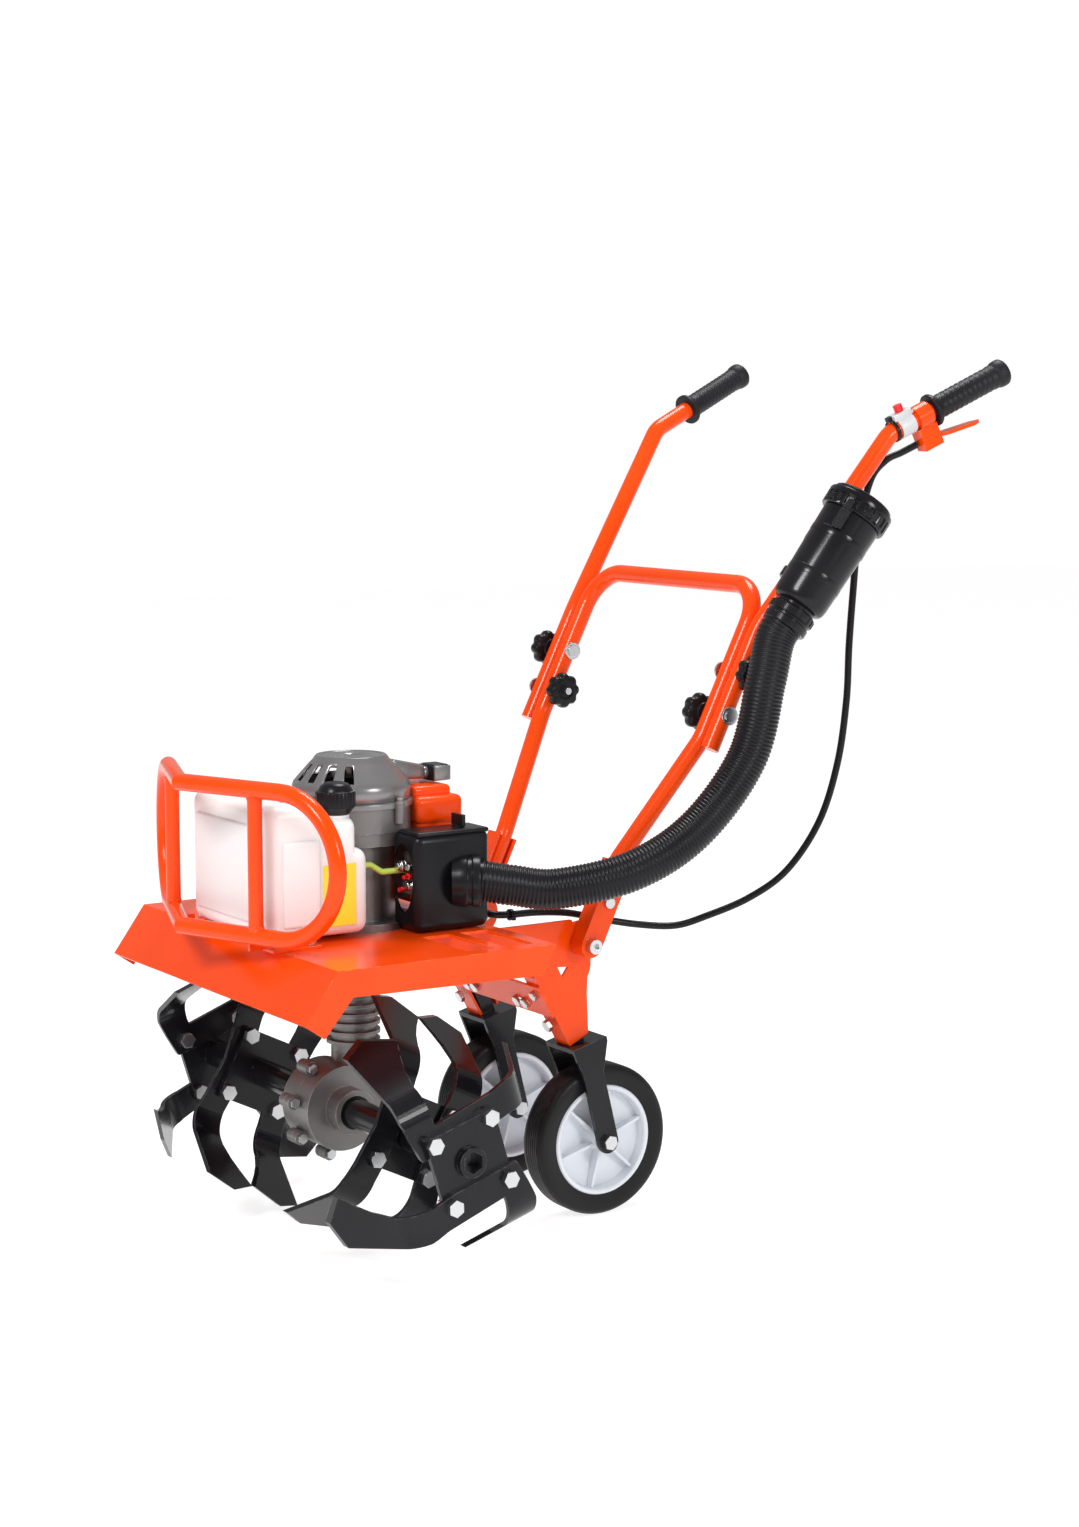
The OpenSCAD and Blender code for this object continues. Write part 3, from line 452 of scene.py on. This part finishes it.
TUBE_R = 0.010
STEPS = 14  # stretches in each bend
BAR_Q, BAR_D = (218, 531, 852), (20, 141, 66)  # start and run of the left grip bar
half = [at(114.1, 213.8, 328.6), at(114.1, 244, 392), at(157, 325, 525), at(157, 406, 687)]
flipped = [Vector((-p.x, p.y, p.z)) for p in reversed(half)]
line = rounded_path(half + flipped, [60, 60, 45, 45, 60, 60], STEPS)
piece("lower_handle_tube", *tube(line, TUBE_R, 32), "orange_paint", "handle", ["lower_handle"])

bar_end = at(*[q + d for q, d in zip(BAR_Q, BAR_D)])
upper = rounded_path([at(177.4, 320.5, 516), at(177.4, 385, 645), at(*BAR_Q), bar_end],
                     [120, 34], STEPS)
uppers = Shape().add(*tube(upper, TUBE_R, 32)).mirror()
piece("upper_handle_tubes", uppers.verts, uppers.faces, "orange_paint", "handle", ["upper_handles"])

# ---- bumper --------------------------------------------------------------------

BUMPER_V = math.radians(21)  # how far each wing is swept back
RAIL_LOW, RAIL_HIGH = 352, 501
WING_END = 134  # middle of a wing's round end, along the wing
WING_R = (RAIL_HIGH - RAIL_LOW) / 2
WING_MID = (RAIL_HIGH + RAIL_LOW) / 2
ROD_U = 101  # place of the upright rod, along the wing


def wing(u, z, s):
    """A point of a bumper wing, u along it from the middle of the machine."""
    return at(s * u * math.cos(BUMPER_V), -220 + u * math.sin(BUMPER_V), z)


def loop_tube(rings, radius, sides):
    """A closed tube. Each ring is its centre, tangent, normal and the mitre's stretch."""
    verts, faces = [], []
    n = len(rings)
    for c, t, across, stretch in rings:
        w = t.cross(across)
        for j in range(sides):
            a = 2 * math.pi * j / sides
            verts.append(c + radius * (math.cos(a) * stretch * across + math.sin(a) * w))
    for i in range(n):
        for j in range(sides):
            k, q = (i + 1) % n, (j + 1) % sides
            faces.append([i * sides + j, i * sides + q, k * sides + q, k * sides + j])
    return verts, faces


def wing_ring(a, s):
    """A ring of the wing's round end, a radians round it."""
    c, v = math.cos(a), math.sin(a)
    cb, sb = math.cos(BUMPER_V), math.sin(BUMPER_V)
    centre = wing(WING_END + WING_R * c, WING_MID + WING_R * v, s)
    return centre, Vector((-v * cb, -s * v * sb, s * c)), Vector((-s * sb, cb, 0)), 1


def corner_ring(z, s):
    """The mitred ring where the two wings meet."""
    return wing(0, z, s), Vector((s, 0, 0)), Vector((0, 1, 0)), 1 / math.cos(BUMPER_V)


turns = [math.radians(-90 + 7.5 * i) for i in range(25)]
rings = [corner_ring(RAIL_LOW, 1)] + [wing_ring(a, 1) for a in turns]
rings += [corner_ring(RAIL_HIGH, -1)] + [wing_ring(a, -1) for a in reversed(turns)]
bumper = Shape().add(*loop_tube(rings, 9 * MM, 32))
for sx in (-1, 1):
    # the upright rod with its two weld beads, then the foot and its gusset
    bumper.add(*tube([wing(ROD_U, RAIL_LOW, sx), wing(ROD_U, RAIL_HIGH, sx)], 7.7 * MM, 28))
    for low, high in ((RAIL_LOW + 8.2, RAIL_LOW + 10.2), (RAIL_HIGH - 10.2, RAIL_HIGH - 8.2)):
        bumper.add(*tube([wing(ROD_U, low, sx), wing(ROD_U, high, sx)], 8.4 * MM, 28))
    bumper.add(*side_block(sx, (62, 108), (-172, -116), (335.1, 338)))
    bumper.add(*side_block(sx, (80, 84), (-186, -166.5), (335.1, 347)))
piece("front_bumper_tube", bumper.verts, bumper.faces, "orange_paint", "frame", ["front_bumper"],
      angle=32)

# ---- grips -----------------------------------------------------------------------

profile = [(10.2, 56), (17.6, 56), (18.6, 57), (18.6, 60), (17.6, 61.5), (14.4, 63.5),
           (13.4, 66), (13.0, 69)]
profile += [(13.3 + 0.25 * math.sin(z * 0.9), z) for z in range(72, 140, 1)]
profile += [(13.8, 142), (13.8, 144), (13.2, 145.5), (14.4, 148), (15.3, 151), (15.5, 155),
            (15.2, 158), (13.5, 160), (0.1, 160)]
grips = Shape().add(*turned(scaled(profile), 48), place(at(*BAR_Q), unit(Vector(BAR_D)))).mirror()
piece("rubber_grips", grips.verts, grips.faces, "grip_rubber", "handle", ["grips"])

# ---- kill switch -----------------------------------------------------------------

# a frame on the grip bar: Y runs along the bar, Z is up from it
BAR_TURN, BAR_RISE = math.radians(-8.07), math.radians(24.86)
on_bar = Matrix.Translation(at(*BAR_Q)) @ Matrix.Rotation(BAR_TURN, 4, "Z")
on_bar = on_bar @ Matrix.Rotation(BAR_RISE, 4, "X")
switch = Shape()
clamp_ring = scaled([(10.1, 10), (11.6, 10), (12.2, 10.6), (12.2, 29), (11.6, 29.6),
                     (10.1, 29.6)])
switch.add(*closed_turn(clamp_ring, 48), on_bar @ Matrix.Rotation(-math.pi / 2, 4, "X"))
switch.add(*block(mm(-7.5, 7, 9.4), mm(7.5, 30.5, 16.4)), on_bar)
switch.add(*block(mm(-6, 30, 9.4), mm(6, 33.5, 13)), on_bar)
piece("kill_switch_case", switch.verts, switch.faces, "switch_plastic", "handle", ["kill_switch"],
      bevel=0.0006)

# ---- knobs -----------------------------------------------------------------------

def knob(name, origin, z):
    """An eight-lobed clamping knob, its hub on the tube's side."""
    prof = [(10.5, 0), (11, 1), (11, 5), (15, 5.2), (18.5, 6), (20.2, 8), (20.5, 11), (20.5, 14),
            (20.0, 17), (18.6, 19.2), (16, 20), (10, 20), (9, 19), (8.5, 18.4), (5.5, 18.4),
            (5.2, 19.4), (4.2, 19.4)]

    def lobes(a, i):
        """Eight hollows between the lobes, on the rows of the rim only."""
        return 1 - (0.13 * (0.5 - 0.5 * math.cos(8 * a)) ** 1.6 if 3 < i < 11 else 0)

    body = Shape().add(*turned(scaled(prof), 96, lobes), place(origin, z))
    piece(name + "_body", body.verts, body.faces, "black_plastic", name, [name])


for side, sx in (("left", 1), ("right", -1)):
    knob("knob_inner_" + side, at(sx * 146.6, 338.5, 552), (-sx, 0, 0))
    knob("knob_outer_" + side, at(sx * 187.8, 360.5, 596), (sx, 0, 0))

# ---- air filter canister -----------------------------------------------------------

can_o, can_z = at(236, 396, 678), (0.12, 0.565, 0.816)  # middle of its base, and its axis
on_base = place(can_o, can_z)
can = Shape()
can.add(*turned(scaled([
    (21.6, -36), (24, -36), (25, -35), (25, -28), (23.8, -27), (23.8, -24.5), (25.4, -23.5),
    (25.4, -15), (24, -13.6), (22, -13.2), (22, -10), (25, -9), (28, -7), (29.6, -3), (30.2, 2),
    (31.6, 55), (32.8, 98), (33, 101.8), (28, 101.8)]), 64), on_base)
NOTCHES = 20  # small ribs round the collar
for i in range(NOTCHES):
    notch = on_base @ Matrix.Rotation(math.radians(360 / NOTCHES * i), 4, "Z")
    can.add(*block((0.0246, -0.0016, -0.0228), (0.0262, 0.0016, -0.0156)), notch)
piece("canister_body", can.verts, can.faces, "black_gloss_plastic", "handle", ["filter_canister"])

can_d = unit(Vector(can_z))
on_can = Matrix.Translation(can_o) @ Matrix.Rotation(math.atan2(can_d.y, can_d.x), 4, "Z")
on_can = on_can @ Matrix.Rotation(math.acos(can_d.z), 4, "Y")
STRAP_W = 12
straps = Shape()
# each strap: its lower edge, the handle tube's middle seen along the canister, its own radius
for low, (tube_x, tube_y), wide in ((20, (1.35, 52.6), 30.7), (68, (2.05, 50.85), 32.1)):
    high = low + STRAP_W
    band = scaled([(wide - 1, low + 2), (wide + 0.3, low + 2), (wide + 0.5, low + 3),
                   (wide + 0.5, low + 9), (wide + 0.3, low + 10), (wide - 1, low + 10)])
    straps.add(*closed_turn(band, 80), on_can)
    straps.add(*block(mm(-5, wide, low), mm(7, tube_y - 10.4, high)), on_can)
    grip = scaled([(10.6, low), (13, low), (13.6, low + 1), (13.6, low + 11), (13, high),
                   (10.6, high)])
    straps.add(*closed_turn(grip, 48), on_can @ Matrix.Translation(mm(tube_x, tube_y, 0)))
piece("canister_straps", straps.verts, straps.faces, "black_gloss_plastic", "handle",
      ["canister_clamps"], angle=30)


def cap_wave(a, i):
    """The cap's ring of small rectangular ribs."""
    return 0.955 if 3 <= i <= 6 and (a * 24 / math.pi) % 2 < 0.9 else 1


cap = Shape()
cap.add(*turned(scaled([
    (31, 102.1), (36.2, 102.1), (37.2, 103), (37.2, 106), (37.3, 106.2), (37.3, 116),
    (37.3, 116.2), (37.5, 116.4), (37.5, 121), (36.8, 122.5), (34.5, 123.5), (33.5, 126.5),
    (31.5, 128), (12, 128), (11, 127.2), (0.1, 127.2)]), 240, cap_wave), on_base)
for turn in (-50, 130):  # the two clips
    m = on_base @ Matrix.Rotation(math.radians(turn), 4, "Z")
    cap.add(*block((0.0342, -0.006, 0.078), (0.037, 0.006, 0.104)), m)
    cap.add(*block((0.0365, -0.004, 0.100), (0.0385, 0.004, 0.112)), m)
piece("canister_cap_ribbed", cap.verts, cap.faces, "black_gloss_plastic", "canister_cap",
      ["canister_cap"], angle=30)

# ---- intake hose and control cable ---------------------------------------------------

# the last three points lie on the canister's axis, 52, 28 and 21 mm below its base
hose_points = [at(*p) for p in (
    (108, 68, 387), (115, 79, 386), (128, 101, 382), (152, 143, 378), (188, 215, 396),
    (206, 283, 437), (224, 335, 510), (232, 353, 590), (229.76, 366.61, 635.56),
    (232.64, 380.18, 655.15), (233.48, 384.13, 660.86))]
HOSE_STEP = 0.0007
RIB_STEPS = 6  # a rib each 4.2 mm
CUFF_STEPS = 10
hose_line = even(catmull(hose_points, 40), HOSE_STEP)


def ribbed(i, n):
    """Radius of the corrugated hose, with a flat cuff at both ends."""
    if i < CUFF_STEPS or i > n - 1 - CUFF_STEPS:
        return 0.0215
    return 0.0207 + 0.0011 * (0.5 - 0.5 * math.cos(2 * math.pi * i / RIB_STEPS)) ** 0.6


hose = piece("intake_hose", *tube(hose_line, ribbed, 40), "hose", None, ["air_hose"], angle=80)
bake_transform(hose)

cable_points = [at(*p) for p in (
    (219.5, 568, 839.5), (212, 553, 831), (205, 536, 822), (199, 520, 800), (195, 508, 745),
    (193, 503, 680), (191, 500, 620), (189, 499, 559), (186, 490, 490), (180, 470, 426),
    (170, 434, 374), (157, 392, 345), (140, 344, 326), (122, 316, 316), (103, 280, 318),
    (90, 240, 326), (86, 200, 336), (87, 160, 341), (91, 120, 343), (88, 100, 345), (68, 97, 347),
    (51, 90, 352), (51, 74, 364))]
cable = piece("control_cable_sleeve", *tube(catmull(cable_points, 10), 0.0039, 20), "hose", None,
              ["control_cable"], angle=80)
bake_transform(cable)

# ---- tyres -----------------------------------------------------------------------------

tyre_prof = [(61.2, -16.5), (66, -17.8), (72, -18.8), (77, -19), (80.5, -17.8), (82.6, -15),
             (83.6, -11)]
for x in (-11, -7, -3, 1, 5, 9):
    tyre_prof += [(83.9, x + 0.2), (84, x + 1.6), (83.9, x + 3.0), (82.6, x + 3.2), (82.6, x + 3.9)]
tyre_prof += [(83.6, 13), (82.6, 15), (80.5, 17.8), (77, 19), (72, 18.8), (66, 17.8), (61.2, 16.5)]
for side in ("left", "right"):
    lo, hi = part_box("tyre_" + side)
    tyre = Shape().add(*closed_turn(scaled(tyre_prof), 120), place((lo + hi) / 2, (1, 0, 0)))
    piece("tyre_%s_rubber" % side, tyre.verts, tyre.faces, "tyre", "wheel_" + side,
          ["tyre_" + side])

# ---- rims -------------------------------------------------------------------------------

rim_half = [(61, 0), (61, 16.4), (59.8, 17.9), (57, 18.3), (55.4, 17), (53.8, 5), (50, 4),
            (17, 2.6), (14, 4), (12.6, 9), (12.2, 18.4), (11.2, 19), (5.3, 19)]
rim_prof = scaled(rim_half) + scaled([(r, -x) for r, x in reversed(rim_half[1:])])
RIB_T = 3.2 * MM
for side in ("left", "right"):
    lo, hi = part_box("rim_" + side)
    m = place((lo + hi) / 2, (1, 0, 0))
    rim = Shape().add(*closed_turn(rim_prof, 96), m)
    for i in range(6):
        for s in (1, -1):
            turn = Matrix.Rotation(math.radians(60 * i + 18), 4, "Z")
            rib = scaled([(12, s * 2), (54, s * 4), (54.6, s * 12.5), (12.6, s * 16)])
            v, f = prism(rib, RIB_T)
            v = [(x, z - RIB_T / 2, y) for x, y, z in v]
            rim.add(v, f, m @ turn)
    piece("rim_%s_wheel" % side, rim.verts, rim.faces, "rim_plastic", "wheel_" + side,
          ["rim_" + side], angle=30)

# ---- boxes and cutting ---------------------------------------------------------

def rounded_box(name, lo, hi, radius, steps=4, drop=None):
    """A box with rounded edges. drop removes the faces furthest that way."""
    mesh = bpy.data.meshes.new(name)
    bm = bmesh.new()
    v, f = block(lo, hi)
    made = [bm.verts.new(p) for p in v]
    for q in f:
        bm.faces.new([made[i] for i in q])
    bmesh.ops.recalc_face_normals(bm, faces=bm.faces)
    bmesh.ops.bevel(bm, geom=list(bm.edges), offset=radius, segments=steps, profile=0.5,
                    affect="EDGES")
    if drop:
        bm.normal_update()
        reach = {f: f.calc_center_median().dot(Vector(drop)) for f in bm.faces}
        limit = max(reach.values()) - radius * 1.01
        bmesh.ops.delete(bm, geom=[f for f in bm.faces if reach[f] > limit], context="FACES")
    bm.to_mesh(mesh)
    bm.free()
    smooth(mesh, 40)
    return add_object(name, mesh)


def soft_box(name, lo, hi, slot, body, stands_for=(), radius=0.004, steps=4, drop=None):
    """A rounded box given its material and its place on a CAD body."""
    return settle(rounded_box(name, lo, hi, radius, steps, drop), slot, body, stands_for)


def thicken(obj, depth):
    """Gives an open skin its wall, grown inwards."""
    m = obj.modifiers.new("wall", "SOLIDIFY")
    m.thickness = depth
    m.offset = -1


def cut(obj, other, how="DIFFERENCE"):
    """Cuts a hidden shape out of obj, or joins it on, and keeps the result as its mesh."""
    m = obj.modifiers.new("cut", "BOOLEAN")
    m.operation = how
    m.object = other
    m.solver = "EXACT"
    graph = bpy.context.evaluated_depsgraph_get()
    done = bpy.data.meshes.new_from_object(obj.evaluated_get(graph))
    obj.modifiers.clear()
    obj.data = done
    done.set_sharp_from_angle(angle=math.radians(40))
    bpy.data.objects.remove(other)


def cutter(verts, faces, m=None):
    """A shape used only to cut with."""
    s = Shape().add(verts, faces, m)
    mesh = bpy.data.meshes.new("cutter")
    mesh.from_pydata(s.verts, [], s.faces)
    bm = bmesh.new()
    bm.from_mesh(mesh)
    bmesh.ops.recalc_face_normals(bm, faces=bm.faces)
    bm.to_mesh(mesh)
    bm.free()
    return add_object("cutter", mesh)


# ---- fuel tank ------------------------------------------------------------------

ENGINE_Y = -20  # the engine's upright axis
engine_axis = Matrix.Translation(at(0, ENGINE_Y, 0))

# three rounded steps joined, cut round the engine, with the filler neck
tank = soft_box("fuel_tank_shell", at(-90, -165, 341), at(90, -49, 430), "tank_plastic", "frame",
                ["fuel_tank"], radius=0.013, steps=6)
cut(tank, rounded_box("shoulder", at(-90, -165, 390), at(90, -62, 464), 0.013, 6), "UNION")
cut(tank, rounded_box("top", at(-90, -165, 420), at(90, -100, 480), 0.013, 6), "UNION")
cut(tank, cutter(*turned(scaled([(68.6, 330), (68.6, 500)]), 96), engine_axis))
neck = Shape().add(*turned(scaled([(14, 450), (14, 471)]), 40), Matrix.Translation(at(70, -78, 0)))
piece("fuel_tank_neck", neck.verts, neck.faces, "tank_plastic", "frame", angle=30)

# ---- engine covers ---------------------------------------------------------------

# the air box: an open-backed shell with an oval window at the front and a round hose collar
air = soft_box("air_box_shell", at(50, -2, 336), at(104, 90, 440), "black_plastic", "frame",
               ["air_box"], radius=0.010, steps=5, drop=(-1, 0, 0))
thicken(air, 0.003)
oval = [(0.020 * math.cos(a), 0.036 * math.sin(a))
        for a in [2 * math.pi * i / 40 for i in range(40)]]
cut(air, cutter(*prism(oval, 0.03), place(at(76, -14, 392), (0, 1, 0), (1, 0, 0))))
port = place(at(98, 52, 387), (math.cos(math.radians(58)), math.sin(math.radians(58)), 0))
collar = Shape().add(*turned(scaled([
    (26, -6), (27, 2), (27.6, 5), (27.6, 9), (26.4, 10), (26, 11), (26, 15), (27.4, 16),
    (27.4, 22), (26.6, 24), (23, 24), (22.4, 23)]), 48), port)
piece("air_box_collar", collar.verts, collar.faces, "black_plastic", "frame", angle=30)
soft_box("air_box_lid", at(62, 0.5, 437), at(103, 88, 442), "black_plastic", "frame",
         radius=0.0022, steps=3)

# cylinder cover: skirt, wide cap and raised lid
soft_box("cylinder_cover_skirt", at(-43, 36, 354), at(43, 90, 446), "orange_plastic", "frame",
         ["cylinder_cover"], radius=0.005)
soft_box("cylinder_cover_cap", at(-46, 33.5, 440), at(46, 92, 470), "orange_plastic", "frame",
         radius=0.007, steps=5)
soft_box("cylinder_cover_lid", at(-34, 36, 464), at(34, 84, 480), "orange_plastic", "frame",
         radius=0.005)

# starter cover: a slotted dome with an arm to the pull handle
dome_prof = [(63, 465.2), (63, 484), (61.5, 488), (59, 491), (44, 508), (41, 511), (38.5, 514.5),
             (37, 516), (34, 516.2), (33, 515.2), (0.2, 515.2)]
DOME_SIDES = 96
SLOT_ROW = 3  # the dome's long sloping band


def in_slot(corner):
    """Whether the dome's face that starts at this corner is open, as part of an air slot."""
    row, col = divmod(corner, DOME_SIDES)
    return row == SLOT_ROW and col % 6 in (2, 3, 4) and 135 < 360 * col / DOME_SIDES < 340


v, f = turned(scaled(dome_prof), DOME_SIDES)
dome = Shape().add(v, [q for q in f[:-2] if not in_slot(q[0])], engine_axis)
starter = piece("starter_cover_dome", dome.verts, dome.faces, "silver_plastic", "frame",
                ["starter_cover"], angle=30)
thicken(starter, 0.0025)
arm = [at(-17, 22, 487), at(17, 22, 487), at(17, 22, 509), at(-17, 22, 509),
       at(-9, 66, 484), at(9, 66, 484), at(9, 66, 499), at(-9, 66, 499)]
arm_faces = [[0, 3, 2, 1], [4, 5, 6, 7], [0, 1, 5, 4], [1, 2, 6, 5], [2, 3, 7, 6], [3, 0, 4, 7]]
piece("starter_cover_arm", arm, arm_faces, "silver_plastic", "frame", bevel=0.003)
ring = Shape().add(*turned(scaled([(63, 463), (65, 463.5), (65, 469), (64, 470), (62, 470)]), 96),
                   engine_axis)
piece("starter_cover_rim", ring.verts, ring.faces, "silver_plastic", "frame", angle=30)
screws = Shape()
SCREW_RING = 67
for i in range(4):
    a = math.radians(20 + 90 * i)
    foot = at(SCREW_RING * math.cos(a), ENGINE_Y + SCREW_RING * math.sin(a), 0)
    screws.add(*turned(scaled([
        (5.5, 448), (5.5, 470), (5.2, 470.4), (3.9, 470.5), (3.9, 474), (3.3, 474.8),
        (0.1, 474.8)]), 24), Matrix.Translation(foot))
piece("starter_cover_screws", screws.verts, screws.faces, "cast_alloy", "frame", angle=30)

# pull handle
soft_box("starter_pull_grip", at(-14.5, 72.3, 481), at(14.5, 94.3, 499), "black_plastic",
         "starter_handle", ["starter_handle"], radius=0.0035)
ends = Shape()
for sx in (-1, 1):
    ends.add(*side_block(sx, (14, 17), (73.3, 93.3), (482, 498)))
ends.add(*turned(scaled([(6.8, 0), (6.8, 5), (6, 6.4)]), 32), place(at(0, 66.4, 490), (0, 1, 0)))
piece("starter_pull_ends", ends.verts, ends.faces, "silver_plastic", "starter_handle", bevel=0.001)

rope_line = [at(0, 26 + 0.5 * i, 490) for i in range(82)]


def twisted(i, n):
    """Radius of the rope, with its strands."""
    return (1.85 + 0.12 * math.sin(i * 1.7)) * MM


rope = piece("starter_rope_cord", *tube(rope_line, twisted, 14), "rope", None, ["starter_rope"],
             angle=80)
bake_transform(rope)

# fuel cap
lo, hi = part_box("fuel_cap")
cap_c = Vector(((lo.x + hi.x) / 2, (lo.y + hi.y) / 2, 0))
prof = [(9, 458), (18.6, 471.5), (20.2, 472.6), (20.8, 475), (20.8, 487.5), (20, 489), (18, 489.6),
        (17.4, 491), (15.6, 494.6), (12.5, 497.2), (8, 498.4), (0.1, 498.6)]


def fuel_cap_wave(a, i):
    """The fuel cap's gripping ribs."""
    return 0.97 if 3 <= i <= 4 and (a * 24 / math.pi) % 2 < 0.7 else 1


fuel_cap = Shape().add(*turned(scaled(prof), 192, fuel_cap_wave), Matrix.Translation(cap_c))
piece("fuel_cap_ribbed", fuel_cap.verts, fuel_cap.faces, "black_plastic", "fuel_cap",
      ["fuel_cap"], angle=30)

# carburettor fittings behind the oval window
bits = Shape()
bits.add(*turned(scaled([(7, 0), (7, 5), (4.5, 6), (4.5, 9), (0.1, 9)]), 6),
         place(at(72, 2, 404), (0, -1, 0)))
bits.add(*turned(scaled([(3.6, 0), (3.6, 12), (0.1, 12)]), 20),
         place(at(82, 9, 402), (0.3, -1, 0.2)))
bits.add(*turned(scaled([(5, 0), (5, 4), (3, 5), (0.1, 5)]), 6),
         place(at(80, 4, 384), (0.2, -1, -0.2)))
bits.add(*block(at(64, 4, 374), at(88, 30, 388)))
bits.add(*block(at(63, 7, 406), at(87, 30, 418)))
piece("carburettor_fittings", bits.verts, bits.faces, "zinc", "frame", bevel=0.0006)
jet = Shape().add(*turned(scaled([(4, 0), (4, 3), (2.4, 3.4), (2.4, 9), (0.1, 9)]), 6),
                  place(at(82, 3, 394), (0.2, -1, 0)))
jet.add(*turned(scaled([(2.6, 0), (2.6, 7), (0.1, 7)]), 6), place(at(74, 1, 380), (0, -1, -0.1)))
piece("carburettor_jet", jet.verts, jet.faces, "red_plastic", "frame", angle=30)

# fuel line from the tank to the carburettor, and the tank's two fittings
fuel_path = rounded_path([at(66, -50, 408), at(66, -36, 408), at(67, -22, 399), at(67, 5.6, 399)],
                         [6, 6])
piece("fuel_line_tube", *tube(fuel_path, 3.2 * MM, 20), "fuel_line", "frame", ["fuel_line"],
      angle=60)
fittings = Shape()
for y in (-128, -112):
    fittings.add(*turned(scaled([
        (4, 470), (4, 480), (6.5, 480.1), (6.8, 481), (6.5, 484.5), (5.6, 485), (3, 485), (3, 489),
        (2.4, 490), (0.1, 490)]), 32), Matrix.Translation(at(56, y, 0)))
piece("fuel_tank_fittings", fittings.verts, fittings.faces, "black_plastic", "frame", angle=30)

# embossed panels of the tank
soft_box("fuel_tank_panel", at(84, -151, 354), at(92.2, -107, 444), "tank_plastic", "frame",
         radius=0.0035, steps=5)
soft_box("fuel_tank_front_panel", at(-74, -167.2, 356), at(58, -160, 458), "tank_plastic", "frame",
         radius=0.003, steps=5)

# ---- light, floor ---------------------------------------------------------------------------

floor = add_object("floor", bpy.data.meshes.new("floor"))
floor.data.from_pydata([(-9, -9, 0), (9, -9, 0), (9, 9, 0), (-9, 9, 0)], [], [[0, 1, 2, 3]])
floor_paint = material("floor_paint", (0.42, 0.42, 0.42), 0.8, vary=0.01, grain=60, bump=0.02,
                       edge=0.0, spec=0.0)
floor_bsdf = floor_paint.node_tree.nodes["Principled BSDF"]
floor_bsdf.inputs["Emission Color"].default_value = (1, 1, 1, 1)
floor_bsdf.inputs["Emission Strength"].default_value = 0.82
floor.data.materials.append(floor_paint)

world = bpy.data.worlds.new("studio")
bpy.context.scene.world = world
world.use_nodes = True
nodes = world.node_tree.nodes
nodes["Background"].inputs["Color"].default_value = (1, 1, 1, 1)
nodes["Background"].inputs["Strength"].default_value = 0.4
# the camera sees white, while the machine is lit by a dimmer grey
seen = nodes.new("ShaderNodeBackground")
rays = nodes.new("ShaderNodeLightPath")
by_ray = nodes.new("ShaderNodeMixShader")
link(world.node_tree, rays.outputs["Is Camera Ray"], by_ray.inputs[0])
link(world.node_tree, nodes["Background"].outputs[0], by_ray.inputs[1])
link(world.node_tree, seen.outputs[0], by_ray.inputs[2])
link(world.node_tree, by_ray.outputs[0], nodes["World Output"].inputs["Surface"])
seen.inputs["Color"].default_value = (1, 1, 1, 1)


def softbox(name, place_at, target, size, power):
    """A square area light turned to its target."""
    data = bpy.data.lights.new(name, "AREA")
    data.size = size
    data.energy = power
    lamp = add_object(name, data)
    lamp.location = place_at
    lamp.rotation_mode = "QUATERNION"
    lamp.rotation_quaternion = (Vector(target) - Vector(place_at)).to_track_quat("-Z", "Y")


softbox("key", (1.2, -2.6, 2.6), (0, 0, 0.4), 0.9, 72)
softbox("side", (3.0, 0.6, 1.6), (0, 0, 0.4), 0.8, 34)
softbox("top", (-0.6, 0.8, 3.2), (0, 0, 0.4), 1.1, 54)
bpy.context.scene.view_settings.view_transform = "Standard"
